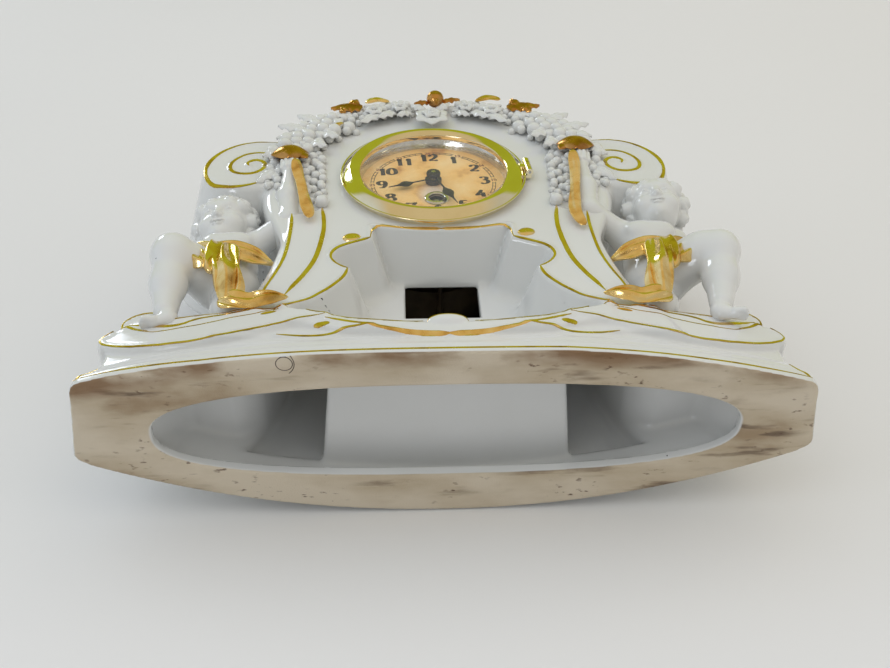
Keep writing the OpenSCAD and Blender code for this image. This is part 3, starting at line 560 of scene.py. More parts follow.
caseShape = {
    "wall": 5.0,
    "bodyFront": -33.0,
    "bodyBack": 42.0,
    "domeRadius": 84.0,
    "frontHalf": 142.5,
    "frontDrop": 16.5,
    "backDrop": 33.0,
    "footHeight": 5.5,
    "rightLean": [(44, 0), (75, 1.4), (98, 2.6), (121, 3.4), (150, 3.6)],
    "underLean": [(-150, 0.6), (-129, 1.0), (-94, 2.7), (0, 2.7), (98, 2.9), (150, 2.6)],
    "nicheBack": -6.0,
    "boreRadius": 38.0,
    "scrollFront": (90.6, 153.0, 22.6),
    "scrollBack": (98.0, 140.0, 34.0),
    "scrollDepth": 62.0,
    "button": ((-0.5, -37.4, 18.9), (7.6, 2.2, 2.9)),
    # Half outlines in the front view: across from the middle, and up
    "cove": [(-20, -10), (144, -10), (144, 3), (140.6, 6.8), (137, 9.6), (134.6, 13.5), (134, 20),
             (125, 22), (107, 20), (76, 26), (58, 31), (0, 19), (-20, 19)],
    "lowerBand": [(46, 22), (56.8, 20.6), (72.8, 16.6), (86.2, 14), (99.2, 12.8), (111.3, 13.6),
                  (122.5, 15.8), (129.8, 18.4), (136, 22), (138.4, 25.4), (136.8, 28.6), (132.5, 31.5),
                  (124, 32.5), (100, 31), (72, 30), (46, 29)],
    "sill": [(-20, 10.5), (0, 10.5), (40, 14), (66, 22), (66, 34), (53, 27), (38, 22), (17, 19),
             (0, 18.5), (-20, 18.5)],
    "upperBand": [(47, 40), (57.7, 36), (66, 33), (72.4, 31.2), (87.5, 32.6), (98.3, 31.8), (108.7, 31.6),
                  (112, 34), (114.3, 38), (117.5, 40.8), (122, 41.6), (126.5, 41), (130, 38.8),
                  (131.4, 36), (130.8, 32.5), (124, 27), (117.4, 23.6), (109, 22.8), (97, 23.3), (85, 25),
                  (75, 26.5), (60, 31), (47, 36)],
    # Gilded paths in the same view
    "lowerLine": [(47.6, 22.2), (56.8, 20.6), (72.8, 16.6), (86.2, 14), (99.2, 12.8), (111.3, 13.6),
                  (122.5, 15.8), (129.8, 18.4), (136, 22), (138.4, 25.4), (136.8, 28.6), (132.5, 31.5)],
    "upperLine": [(57.7, 36), (66, 33), (72.4, 31.2), (87.5, 32.6), (98.3, 31.8), (108.7, 31.6),
                  (112, 34), (114.3, 38), (117.5, 40.8), (122, 41.6), (126.5, 41), (130, 38.8),
                  (131.4, 36), (130.4, 33.4), (124, 30.2), (116.4, 27.3)],
    "rollLine": [(126, 31.6), (116.4, 28.2), (108.4, 25.8), (102.9, 26), (98.4, 27.6), (84.3, 28.5),
                 (74.3, 30.2)],
    "betweenLine": [(131, 30.6), (124, 26.4), (117.4, 23.6), (109, 22.8), (97, 23.3), (85, 25),
                    (75, 26.5), (66, 29)],
    "sillLine": [(55.5, 27.2), (45.5, 24.6), (34, 21.2), (23, 19.2), (10, 18.6)],
    "sillArch": [(8.6, 18.2), (6.8, 19.2), (4, 20.5), (-0.5, 21.1), (-4.8, 20.5), (-7.6, 19.2), (-9.6, 18.2)],
    "sashLine": [(47.6, 21), (37, 17.6), (25.5, 14.2), (10.5, 11.2), (0, 10.6)],
    "shortLine": [(66, 15), (57, 13.6), (48.6, 13.4), (40.4, 14.9), (29, 15.6)],
    "strapInner": [(53.6, 109), (52.3, 98), (52.2, 87), (54.4, 68.3), (59, 54.7), (65.2, 42.6)],
    "strapOuter": [(67, 104), (66.5, 92), (67.2, 73), (69.8, 59), (74.8, 43)],
    "cornerLine": [(140.6, 3.4), (138.8, 5.4), (136.4, 7.6), (134.2, 10.4)],
    "scrollRim": [(77, 174.6), (85, 175), (92.1, 174.4), (99.5, 171), (105.8, 165.2), (110.2, 157.5),
                  (111.9, 150.3), (111, 142), (106.4, 135.4), (99, 131.8), (92, 131.4), (86, 133.4),
                  (81.4, 137)],
    "scrollInner": [(80.6, 160.6), (84, 162.8), (88.4, 163.4), (94, 161.6), (98.6, 156.6), (100.4, 150.6),
                    (98.6, 145), (93.6, 142.6), (88.2, 143.4), (84.4, 147.4), (83.6, 152), (86, 155.6),
                    (89.8, 156), (92.4, 153.2), (91.4, 150.4)],
}
nicheCorners = {
    "foot": [(67.5, 24), (66, 33), (55.5, 38.4), (51, 42.5), (46.5, 47), (41, 55), (39.5, 61.5)],
    "lobe": [(39.5, 61.5), (44.6, 65.4), (47.3, 71), (45, 76.5), (38, 80.5), (30.5, 84)],
    "top": [(30.5, 94), (14, 92.2), (0, 91.5)],
}
nicheFoot = curveThrough(nicheCorners["foot"], 1.5)
nicheLobe = curveThrough(nicheCorners["lobe"], 1.5)
nicheTop = curveThrough(nicheCorners["top"], 2.0)
nicheOutline = np.vstack([nicheFoot[:-1], nicheLobe, nicheTop, [(-20, 91.5), (-20, 10), (67.5, 10)]])
nicheMap = outlineDistance(nicheOutline)
bandMaps = {name: (outlineDistance(caseShape[name]), inset)
            for name, inset in (("cove", 4.0), ("lowerBand", 1.6), ("sill", 1.5), ("upperBand", 3.2))}
sillHeight = np.array([(0, 18.4), (17, 18.9), (38, 21.8), (53, 26.6), (66, 32.5), (160, 60)])


def besideOutline(path, table, level, rounds=4):
    """Moves a path along the slope of a distance map until the map has a level there."""
    path = np.asarray(path, dtype=float)
    for _ in range(rounds):
        x, z = path.T
        slope = np.stack([fromMap(table, x + 0.6, z) - fromMap(table, x - 0.6, z),
                          fromMap(table, x, z + 0.6) - fromMap(table, x, z - 0.6)], -1)
        path = path - unit(slope) * (fromMap(table, x, z) - level)[:, None]
    return path


lowerLine = besideOutline(curveThrough(caseShape["lowerLine"], 1.0), bandMaps["lowerBand"][0], -1.3)
upperLine = besideOutline(curveThrough(caseShape["upperLine"], 1.0), bandMaps["upperBand"][0], -1.3)
sillLine = besideOutline(curveThrough(caseShape["sillLine"], 1.0), bandMaps["sill"][0], -1.0)
betweenLine = besideOutline(curveThrough(caseShape["betweenLine"], 1.0), bandMaps["upperBand"][0], -0.9)


def makeRelief():
    """How far the front stands forward: ridges fall off as exp(-(d/w)^2), bands are level inside."""
    x, z = mapGrid

    def ridge(path, height, width):
        return height * np.exp(-(pathDistance(path) / width) ** 2)

    inner, outer = (curveThrough(caseShape[name], 3) for name in ("strapInner", "strapOuter"))
    relief = ease(-outlineDistance(np.vstack([inner, outer[::-1]])), -1.5, 1.0) * ease(z, 42, 50)
    relief = relief + ridge(inner, 0.7, 1.7) + ridge(outer, 0.7, 1.7)
    rim = np.abs(nicheMap - 1.2)
    relief = relief + 0.8 * np.exp(-(rim / 1.5) ** 2) * (z > 34)
    for path, height in ((lowerLine[::3], 0.6), (upperLine[::3], 0.6), (sillLine[::3], 0.5)):
        relief = relief + ridge(path, height, 1.4)
    for name, height in (("rollLine", 0.5), ("sashLine", 0.9), ("shortLine", 0.7)):
        relief = relief + ridge(curveThrough(caseShape[name], 3), height, 1.4)
    for name in ("scrollRim", "scrollInner"):
        relief = relief + ridge(curveThrough(caseShape[name], 3), 0.9, 1.5) * ease(x, 66, 70)
    fromDial = np.hypot(x, z - dialZ)
    relief = relief * ease(fromDial, 45.5, 50)
    aboveFoot = ease(z, caseShape["footHeight"] - 3.5, caseShape["footHeight"] + 2.5)
    return np.maximum(relief, 0) * aboveFoot


reliefMap = makeRelief()


def sideX(z):
    """Half width of the body: the waist, plus a flare that grows with the square of the drop."""
    waist, flare, flareTop, flareDrop = 70, 14, 100, 70
    return waist + flare * (np.maximum(0, flareTop - z) / flareDrop) ** 2


def basePlan(x, y, z):
    """Distance to the outline of the foot seen from above; its front draws in below, and more to the right."""
    half, ax = caseHigh[0], np.abs(x)
    lean = np.interp(x, *np.transpose(caseShape["rightLean"]))
    under = np.interp(x, *np.transpose(caseShape["underLean"])) * (1 - ease(z, 2.5, 10.5))
    drop = (caseShape["frontDrop"] - 1) * (ax / caseShape["frontHalf"]) ** 3
    front = (caseLow[1] + 1 + lean + under + drop - y) / 1.05
    back = (y - caseHigh[1] + caseShape["backDrop"] * (ax / half) ** 2.1) / 1.08
    side = (ax - caseShape["frontHalf"] - (half - caseShape["frontHalf"]) * (y + 24) / 39.5) * 0.99
    return smoothMax(smoothMax(front, back, 3), side, 4)


def scrollShape(ax, y, z, inset=0.0):
    """A cone on its side that widens to the back, with a level bridge to the dome."""
    (fx, fz, fr), (bx, bz, br) = caseShape["scrollFront"], caseShape["scrollBack"]
    t = np.clip((y - caseShape["bodyFront"]) / caseShape["scrollDepth"], 0, 1)
    cone = np.hypot(ax - fx - (bx - fx) * t, z - fz - (bz - fz) * t) - (fr + (br - fr) * t)
    bridge = np.maximum(np.abs(ax - 76) - 15, np.abs(z - 161.8) - 13.8)
    outline = smoothMin(cone, bridge, 3) + inset
    depth = np.abs(y - caseShape["bodyFront"] - caseShape["scrollDepth"] / 2) - caseShape["scrollDepth"] / 2
    return smoothMax(outline / 1.02, depth + inset, 2.6)


def keyhole(ax, z, inset=0.0):
    """Front outline of the body: a circle over a skirt."""
    skirt = smoothMax((ax - sideX(z)) / 1.03, z - 112, 2)
    circle = np.hypot(ax, z - dialZ) - caseShape["domeRadius"]
    return smoothMin(skirt, circle, 7) + inset


def nicheSpace(ax, y, z, inset=0.0):
    """The niche: its outline draws in with depth, and its floor sweeps up to the back wall."""
    depth = np.maximum(y - caseShape["bodyFront"], 0)
    outline = (fromMap(nicheMap, ax, z) + 0.30 * depth) / 1.04
    lip = np.interp(ax, sillHeight[:, 0], sillHeight[:, 1])
    floor = lip + (48.5 - lip) * np.clip((y + 39) / 33, 0, 1.2) ** 1.7
    space = smoothMax(outline, (floor - z) / 1.25, 5)
    return smoothMax(space, y - caseShape["nicheBack"], 4.5) - inset


def footOpening(ax, y, z):
    """Squared oval through the floor of the base: |x/a|^p + |y/b|^p = 1."""
    halfLength, halfWidth, middle, power = 116.5, 24.0, 3.5, 2.55
    ring = ((ax / halfLength) ** power + (np.abs(y - middle) / halfWidth) ** power) ** (1 / power)
    return smoothMax((ring - 1) * 22, z - 7, 1)


hollowShape = {
    "roof": 32.0,
    "roofDrop": 8.0,
    "roofDropFrom": (74, 90),
    "end": 122.0,
    # A floor under the movement: half length, height and thickness
    "shelfHalf": 49.0,
    "shelfHeight": 22.0,
    "shelfThick": 7.0,
    # Half width, sill and head of the window in the back of the niche
    "window": (16.5, 62.5, 84.5),
    # Where the casting is cut into four pieces
    "footTop": 43,
    "scrollStart": 85.5,
}


def caseField(x, y, z):
    """The casting: base, body and scrolls, less the hollow, niche, window, foot opening and bore."""
    ax = np.abs(x)
    forward = fromMap(reliefMap, x, z) * ease(-y, 6, 16)
    fy = y + forward
    plan = basePlan(x, fy, z)
    base = smoothMax(plan, z - caseShape["footHeight"], 2.4)
    base = smoothMax(base, -z, 1.2)
    for outline, inset in bandMaps.values():
        face = plan + inset * (ease(z, 2.5, 13) if inset == 4 else 1)
        base = smoothMin(base, smoothMax(fromMap(outline, x, z), face, 2.6), 1.6)
    base = smoothMax(base, -z, 1.2)
    middle = (caseShape["bodyFront"] + caseShape["bodyBack"]) / 2
    halfDepth = (caseShape["bodyBack"] - caseShape["bodyFront"]) / 2
    depth = np.abs(fy - middle) - halfDepth
    rounding = 4 + 7 * ease(z, 96, 150)
    body = smoothMax(keyhole(ax, z), depth, rounding)
    body = smoothMax(body, 16 - z, 1)
    outside = smoothMin(base, body, 3.5)
    outside = smoothMin(outside, scrollShape(ax, fy, z), 2.5)

    wall = caseShape["wall"]
    roof = hollowShape["roof"] - hollowShape["roofDrop"] * ease(ax, *hollowShape["roofDropFrom"])
    low = smoothMax(smoothMax(basePlan(x, y, z) + wall + 5, z - roof, 4), wall - z, 2)
    low = smoothMax(low, ax - hollowShape["end"] + 0.6 * z, 4)
    high = smoothMax(keyhole(ax, z, wall), np.abs(y - middle) - halfDepth + wall, 5)
    high = smoothMax(high, 18 - z, 2)
    hollow = smoothMin(smoothMin(low, high, 4), scrollShape(ax, y, z, wall), 3)
    niche = nicheSpace(ax, y, z)
    hollow = smoothMax(hollow, wall - niche, 2)
    slope = 0.1 * y
    shelf = smoothMax(ax - hollowShape["shelfHalf"] - slope,
                      np.abs(z - hollowShape["shelfHeight"] + slope) - hollowShape["shelfThick"] / 2, 2)
    hollow = smoothMax(hollow, -shelf, 2.5)
    shell = smoothMax(outside, -hollow, 1)
    shell = smoothMax(shell, -niche, 1.4)
    shell = smoothMin(shell, egg(x, y, z, *caseShape["button"]), 1.4)
    shell = smoothMax(shell, -footOpening(ax, y, z), 1.2)
    half, sill, head = hollowShape["window"]
    rise = 2.0 * np.maximum(0, y - caseShape["nicheBack"])  # the head of the window slopes up towards the back
    window = np.maximum(np.maximum(ax - half, np.maximum(sill - z, z - head - rise)), np.abs(y + 3) - 8)
    shell = smoothMax(shell, -window, 0.8)
    bore = np.hypot(x - dialX, z - dialZ) - caseShape["boreRadius"]
    bore = np.maximum(bore, 24 - np.abs(y))
    return np.maximum(shell, -bore)


def makeCase():
    """Four parts of one casting, cut where the cut lies inside the wall."""
    net = Net(caseField, caseLow - 3, caseHigh + (3, 3, 3), 1.25)
    x, y, z = net.axes
    foot = (z < hollowShape["footTop"])[None, None, :]
    outer = (np.abs(x) >= hollowShape["scrollStart"])[:, None, None]
    parts = {"case_foot": foot, "case_body": ~foot & ~outer,
             "case_scroll_left": ~foot & outer & (x < 0)[:, None, None],
             "case_scroll_right": ~foot & outer & (x > 0)[:, None, None]}
    for name, keep in parts.items():
        points, faces, normals = net.surface(np.broadcast_to(keep, net.values.shape))
        piece = makePiece(name, points, faces, "porcelain", normals=normals)
        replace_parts(piece, "case_shell")
        print(name, len(faces) * 2, "triangles")


makeCase()
print("case ready")


# Gilded lines and spots on the front

def onFront(path):
    """Lays places (x, z) of the front view on the case, where a line from the front first meets it."""
    path = np.asarray(path, dtype=float)
    depth = np.arange(-56, 12, 0.5)
    hit = np.argmax(caseField(path[:, :1], depth[None, :], path[:, 1:]) < 0, axis=1)
    points = np.stack([path[:, 0], depth[hit] - 0.25, path[:, 1]], -1)
    return ontoSurface(caseField, points, 0, 5, 0.1, 0.6)


def mirrored(path):
    """A path or cloud of points on the other side of the middle plane."""
    return np.asarray(path, dtype=float) * ((-1, 1) if np.shape(path)[-1] == 2 else (-1, 1, 1))


def joined(parts):
    """Joins lists of points and faces into one."""
    points, faces, start = [], [], 0
    for some, ringFaces in parts:
        points.append(some)
        faces.append(ringFaces + start)
        start += len(some)
    return np.vstack(points), np.vstack(faces)


def bandOn(path, widths):
    """A thin raised band along a path: its section is moved onto the case and stands highest in its middle."""
    centre = onFront(path)
    for _ in range(2):
        centre[1:-1] = 0.5 * centre[1:-1] + 0.25 * (centre[:-2] + centre[2:])
    normal = unit(gradient(caseField, centre, 0.4))
    across = unit(np.cross(np.gradient(centre, axis=0), normal))
    share = np.linspace(0, 1, len(centre))
    width = np.interp(share, np.linspace(0, 1, len(widths)), widths)
    width = width * np.minimum(1, 0.3 + 9 * np.minimum(share, 1 - share))
    rings = []
    for u, level in ((-1, 0.0), (-0.5, 0.13), (0, 0.18), (0.5, 0.13), (1, 0.0), (0.8, -0.3), (-0.8, -0.3)):
        rings.append(ontoSurface(caseField, centre + across * (u * width / 2)[:, None], level, 3, 0.1, 0.5))
    return closedTube(np.stack(rings, 1))


def paintedOn(name, points, faces, frontal=0.65):
    """A gilded piece with the normals of the glaze under it, as fired gold has, turned in part to the front."""
    piece = mergePoles(makePiece(name, points, faces, "gilding"))
    places = np.empty(len(piece.data.vertices) * 3)
    piece.data.vertices.foreach_get("co", places)
    tips = unit(gradient(caseField, places.reshape(-1, 3) / millimetre, 0.5))
    tips = unit(tips * (1 - frontal) + np.array((0, -frontal, 0)))
    piece.data.normals_split_custom_set_from_vertices(tips.astype(np.float32))
    return piece


goldLines = {
    # name: path of one side, widths from its start to its end
    "line_lower": (lowerLine, (0.7, 0.9, 1.0, 1.1, 1.0, 0.8)),
    "line_upper": (upperLine, (0.9, 1.0, 1.2, 0.9, 1.1, 1.3, 0.8)),
    "line_roll": (curveThrough(caseShape["rollLine"], 1.0), (0.9, 2.0, 1.6, 0.9, 0.8, 0.8)),
    "line_between": (betweenLine, (0.45, 0.5, 0.5, 0.45)),
    "line_sill": (sillLine, (0.6, 0.7, 0.7, 0.6)),
    "line_sash": (curveThrough(caseShape["sashLine"], 1.0), (0.9, 1.5, 2.2, 2.6, 2.8)),
    "line_short": (curveThrough(caseShape["shortLine"], 1.0), (0.6, 1.0, 1.2, 0.6)),
    "line_corner": (curveThrough(caseShape["cornerLine"], 0.8), (1.6, 1.7, 1.0)),
    "line_strap_inner": (curveThrough(caseShape["strapInner"], 1.0), (2.3, 2.5, 2.4, 2.0, 1.5)),
    "line_strap_outer": (curveThrough(caseShape["strapOuter"], 1.0), (1.9, 2.2, 2.4, 2.2, 1.5)),
    "line_niche_foot": (besideOutline(nicheFoot[3:], nicheMap, 0.9), (1.0, 1.3, 1.7)),
    "line_niche_lobe": (besideOutline(nicheLobe, nicheMap, 0.9), (1.6, 1.8, 1.5, 1.5)),
    "line_niche_top": (besideOutline(np.vstack([[(30.6, 84.6)], nicheTop]), nicheMap, 0.9),
                       (1.5, 1.5, 1.7, 2.0, 2.2)),
    "line_scroll_rim": (curveThrough(caseShape["scrollRim"], 1.0),
                        (1.0, 1.2, 1.4, 2.2, 3.6, 3.0, 1.7, 1.6, 1.5)),
    "line_scroll_inner": (curveThrough(caseShape["scrollInner"], 0.8), (1.3, 1.6, 2.2, 2.2, 2.4, 2.6)),
}
frontal = {"line_niche_top": 0.2, "line_sash": 0.2, "line_between": 0.88, "line_upper": 0.8, "line_roll": 0.85}
for name, (path, widths) in goldLines.items():
    points, faces = joined([bandOn(path, widths), bandOn(mirrored(path), widths)])
    paintedOn(name, points, faces, frontal.get(name, 0.65))
points, faces = bandOn(curveThrough(caseShape["sillArch"], 0.7), (0.8, 1.1, 1.1, 0.8))
paintedOn("line_arch", points, faces)
footPath = np.stack([np.linspace(-141.5, 141.5, 240), 2.3 + 0.9 * (np.linspace(-1, 1, 240)) ** 2], -1)
points, faces = bandOn(footPath, (1.0, 0.9, 1.1, 0.9, 1.0))
paintedOn("line_foot", points, faces)
print("gilded lines ready")

goldSpots = {
    # name: places as x, z, half width, half height, tilt in degrees; then how far each stands out
    "studs": ([(37.6, 88.4, 4.0, 3.0, 12), (-39.6, 85.4, 4.1, 3.1, 12)], 1.4),
    "base_ovals": ([(46.5, 17.8, 3.2, 1.0, -4), (-48.8, 18.2, 3.2, 1.0, 4), (70, 27.4, 3.2, 0.8, -12),
                    (-70, 27.4, 3.2, 0.8, 12)], 0.3),
}


def goldSpot(x, z, halfWidth, halfHeight, tilt, height):
    """A low dome on the case: height times the root of 1 - rho^2 over an ellipse."""
    rho = np.linspace(1, 0.02, 9)[:, None]
    angle = np.linspace(0, 2 * np.pi, 36, endpoint=False)[None, :]
    u, v = halfWidth * rho * np.cos(angle), halfHeight * rho * np.sin(angle)
    c, s = math.cos(math.radians(tilt)), math.sin(math.radians(tilt))
    flat = np.stack([x + u * c - v * s, z + u * s + v * c], -1)
    base = onFront(flat.reshape(-1, 2)).reshape(*flat.shape[:2], 3)
    lift = height * np.sqrt(np.maximum(0, 1 - rho ** 2)) * np.ones_like(angle)
    normal = unit(gradient(caseField, onFront([(x, z)]), 0.6))[0]
    front = base + normal * lift[..., None]
    return closedTube(np.concatenate([front[:1] - normal * 0.6, front]))


for name, (places, height) in goldSpots.items():
    points, faces = joined([goldSpot(*place, height) for place in places])
    if name == "studs":
        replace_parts(mergePoles(makePiece(name, points, faces, "gilding"), 50), "gold_studs")
    else:
        paintedOn(name, points, faces)
print("gilded spots ready")


# The two figures, described for the right one

def twins(*rows):
    """Each row of a table of shapes with its twin on the other side of the middle."""
    def flipped(kind, start, *rest):
        if kind == "limb":
            radius, end, *others = rest
            rest = radius, (-end[0], *end[1:]), *others
        return kind, (-start[0], *start[1:]), *rest

    return [twin for row in rows for twin in (row, flipped(*row))]


headShape = {
    # centre of the head, the ways its face and crown look, and its size
    "right": ((103.2, -24.0, 119.8), (-0.15, -0.98, -0.14), (0.04, -0.15, 0.98), 1.08),
    "left": ((99.4, -18.5, 116.2), (0.18, -0.95, -0.22), (0.02, -0.22, 0.97), 1.08),
    # across, forward and up from the centre of the head
    "skull": [
        ("egg", (0, -0.5, 1.5), (11.4, 12.2, 12.0), 1),
        ("egg", (0, 3.0, -4.6), (9.3, 8.6, 8.8), 3),
        ("egg", (0, 2.6, -9.2), (7.0, 6.6, 4.8), 3),
        ("egg", (0, 5.6, 5.2), (8.6, 5.8, 6.6), 3),
        *twins(("egg", (5.0, 7.2, -4.4), (4.3, 3.9, 4.1), 2.4)),
        ("ball", (0, 8.3, -10.0), 2.9, 2.2),
        # Eyes with their lids and brows
        *twins(("egg", (4.3, 13.0, 0.7), (2.7, 2.2, 1.7), -1.8),
               ("ball", (4.2, 8.7, 0.1), 2.25, 0.4)),
        ("limb", (6.4, 9.3, 0.5), 0.4, (4.4, 10.9, 1.7), 0.5, 0.5),
        ("limb", (4.4, 10.9, 1.7), 0.5, (2.2, 10.6, 0.5), 0.4, 0.5),
        ("limb", (-6.4, 9.3, 0.5), 0.4, (-4.4, 10.9, 1.7), 0.5, 0.5),
        ("limb", (-4.4, 10.9, 1.7), 0.5, (-2.2, 10.6, 0.5), 0.4, 0.5),
        *twins(("limb", (7.0, 8.7, 3.6), 0.5, (4.6, 10.2, 5.0), 0.6, 2.4),
               ("limb", (4.6, 10.2, 5.0), 0.6, (2.2, 10.7, 4.8), 0.5, 2.4)),
        # Nose, lips and ears
        ("limb", (0, 10.8, 2.6), 0.8, (0, 12.9, -2.4), 1.3, 2.0),
        *twins(("ball", (1.4, 11.9, -2.8), 0.85, 0.9), ("egg", (1.1, 11.6, -5.9), (1.9, 1.2, 0.8), 0.5)),
        ("egg", (0, 11.2, -7.3), (2.1, 1.2, 0.9), 0.5),
        ("limb", (-2.7, 12.0, -6.5), 0.18, (2.7, 12.0, -6.5), 0.18, -0.4),
        *twins(("egg", (11.2, -0.8, -1.4), (1.7, 2.5, 3.2), 1)),
    ],
    # Curls: turn from the face, height above the ears in degrees, radius
    "curls": [(0, 88, 4.4)]
             + [(a, 60, 4.3) for a in (0, 46, 92, 138, 180, -46, -92, -138)]
             + [(a, 38, 3.7) for a in (24, -24)]
             + [(a, 30, 4.4) for a in (56, 90, 124, 158, -56, -90, -124, -158)]
             + [(a, 2, 4.2) for a in (82, 112, 142, 172, -82, -112, -142, -172)]
             + [(a, -26, 3.9) for a in (98, 130, 163, -98, -130, -163)],
    "curlSeat": 11.6,
}


def headField(side):
    """The head in its own axes: across, forward and up; each curl carries a spiral groove."""
    centre, face, crown, size = headShape[side]
    forward = unit(np.array(face))
    up = unit(np.array(crown) - forward * np.dot(crown, forward))

    def field(x, y, z):
        dx, dy, dz = x - centre[0], y - centre[1], z - centre[2]
        a, b, c = ((dx * v[0] + dy * v[1] + dz * v[2]) / size for v in (np.cross(forward, up), forward, up))
        head = built(a, b, c, headShape["skull"])
        hair = None
        for number, (turn, rise, radius) in enumerate(headShape["curls"]):
            t, e = math.radians(turn), math.radians(rise)
            way = np.array((math.sin(t) * math.cos(e), math.cos(t) * math.cos(e), math.sin(e)))
            seat = way * headShape["curlSeat"]
            across = unit(np.cross(way, (0.3, 0.2, 0.9)))
            u, v, w = (a * k[0] + b * k[1] + c * k[2] - np.dot(seat, k)
                       for k in (across, np.cross(way, across), way))
            rho = np.hypot(u, v)
            groove = np.cos(np.arctan2(v, u) * (1 if number % 2 else -1) + rho * 2 * np.pi / 2.6 + number)
            curl = np.sqrt(u * u + v * v + (w * 1.15) ** 2) - radius + 0.34 * groove * ease(rho, 0, 0.8)
            hair = curl if hair is None else smoothMin(hair, curl, 0.7)
        return smoothMin(head, hair * 0.85, 0.6) * size

    return field


# Where the two figures differ: the knee, how far the upper body moves, and the hand
poses = {
    "right": {"knee": (119.2, -37.8, 67.5), "move": (0, 0, 0), "hand": (70.4, -36.0, 147.5)},
    "left": {"knee": (115.2, -37.8, 69.5), "move": (0, 2.0, -3.0), "hand": (70.4, -36.5, 141.5)},
}


def figureTable(side):
    """The shapes of one figure, as if it sat on the right."""
    pose = poses[side]
    knee, hand = np.array(pose["knee"]), np.array(pose["hand"])

    def high(*place):
        return tuple(np.add(place, pose["move"]))

    wrist = tuple(hand + (-0.2, 1.2, -6.0))
    elbow = high(68.6, -30.0, 109.5)
    fore = tuple(0.55 * np.array(wrist) + 0.45 * np.array(elbow) + (0.6, 0, 0))
    calf = tuple(knee * (0.55, 0, 0) + (50.2, -32.0, 52.5))
    table = [
        ("egg", (92.5, -18, 68), (13, 11, 10), 1),
        ("egg", (93, -21, 79), (12.3, 11, 11), 4),
        ("egg", high(95.5, -20.5, 96.5), (13.5, 10.5, 11.5), 4),
        ("limb", high(86, -20, 103), 6.0, high(108.5, -18, 101.5), 6.0, 5),
        ("egg", high(90.5, -28, 98), (5.6, 3.0, 4.4), 3),
        ("egg", high(101, -27.6, 98), (5.6, 3.0, 4.4), 3),
        ("ball", (92.8, -33.0, 85.0), 1.2, -1.6),
        # Outer leg: thigh, knee, calf, foot and toes
        ("limb", (99, -23, 70), 11.5, (112, -33, 69), 9.5, 5),
        ("limb", (112, -33, 69), 9.3, tuple(knee + (-1.0, 0.8, 0.0)), 8.3, 4),
        ("limb", tuple(knee + (-1.5, 2.0, -3.5)), 7.8, calf, 7.1, 4),
        ("limb", calf, 7.1, (112.3, -30.3, 37.5), 5.0, 4),
        ("ball", (110.0, -30.0, 32.0), 3.4, 3),
        ("limb", (110.5, -30.3, 30.8), 3.0, (115.6, -31.4, 28.6), 2.2, 2.5),
        ("limb", (115.2, -32.8, 28.4), 1.5, (118.6, -33.8, 27.6), 1.35, 0.9),
        ("limb", (115.8, -31.6, 28.4), 1.25, (119.6, -32.2, 27.6), 1.1, 0.7),
        ("limb", (116.0, -30.4, 28.6), 1.2, (119.8, -30.8, 27.8), 1.05, 0.7),
        ("limb", (115.8, -29.4, 28.8), 1.1, (119.4, -29.4, 28.0), 1.0, 0.7),
        # Kneeling leg, bent under the body
        ("limb", (90, -18, 68), 10.0, (89, -25, 47), 7.4, 4),
        ("ball", (88.4, -27.2, 40.6), 6.5, 4),
        ("limb", (89, -25, 40.0), 6.0, (92, -6, 38.5), 4.8, 4),
        # Arm that reaches back to the shoulder of the case
        ("limb", high(108.5, -18, 101.5), 5.8, high(118.5, -8, 102), 5.0, 4),
        ("limb", high(118.5, -8, 102), 5.0, high(114, 7, 115), 4.0, 3),
        # Raised arm, with the hand closed under the leaf
        ("limb", high(86, -20.5, 102.5), 6.2, elbow, 6.0, 4),
        ("limb", elbow, 6.0, fore, 5.3, 3),
        ("limb", fore, 5.3, wrist, 3.6, 3),
        ("egg", tuple(hand), (4.6, 3.6, 5.2), 2),
        # Neck
        ("limb", high(97, -20.5, 104), 6.4, tuple(np.array(headShape[side][0]) + (-1, 1, -5)), 6.2, 3),
    ]
    for across, forward, radius in ((-3.3, 1.8, 1.3), (-1.0, 2.8, 1.35), (1.4, 2.6, 1.3), (3.5, 1.4, 1.2)):
        table.append(("limb", tuple(hand + (across, -forward, -1.8)), radius,
                      tuple(hand + (across + 0.3, -forward - 1.1, 3.2)), radius - 0.1, 0.7))
    return table


def pair(name, points, faces, finish, normals=None, replaced=None, sharp=None, sides=("right", "left")):
    """Makes a piece for the right side and its mirrored twin for the left side, or one of them."""
    for side in sides:
        placed, wound = (points, faces) if side == "right" else (mirrored(points), faces[:, ::-1])
        tips = normals if normals is None or side == "right" else mirrored(normals)
        piece = makePiece(name + "_" + side, placed, wound, finish, normals=tips)
        if normals is None:
            mergePoles(piece, sharp)
        if replaced:
            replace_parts(piece, replaced + "_" + side)


for side in ("right", "left"):
    table = figureTable(side)
    body = Net(lambda x, y, z: built(x, y, z, table), (56, -51, 26), (132, 14, 160), 0.75)
    points, faces, normals = body.surface()
    pair("figure", points, faces, "porcelain", normals, replaced="putto", sides=(side,))
    points, faces, normals = Net(headField(side), (78, -48, 96), (126, 0, 144), 0.45).surface()
    pair("head", points, faces, "porcelain", normals, sides=(side,))
    print("figure", side, len(faces) * 2, "triangles in the head")


# Gold cloth round each figure's waist

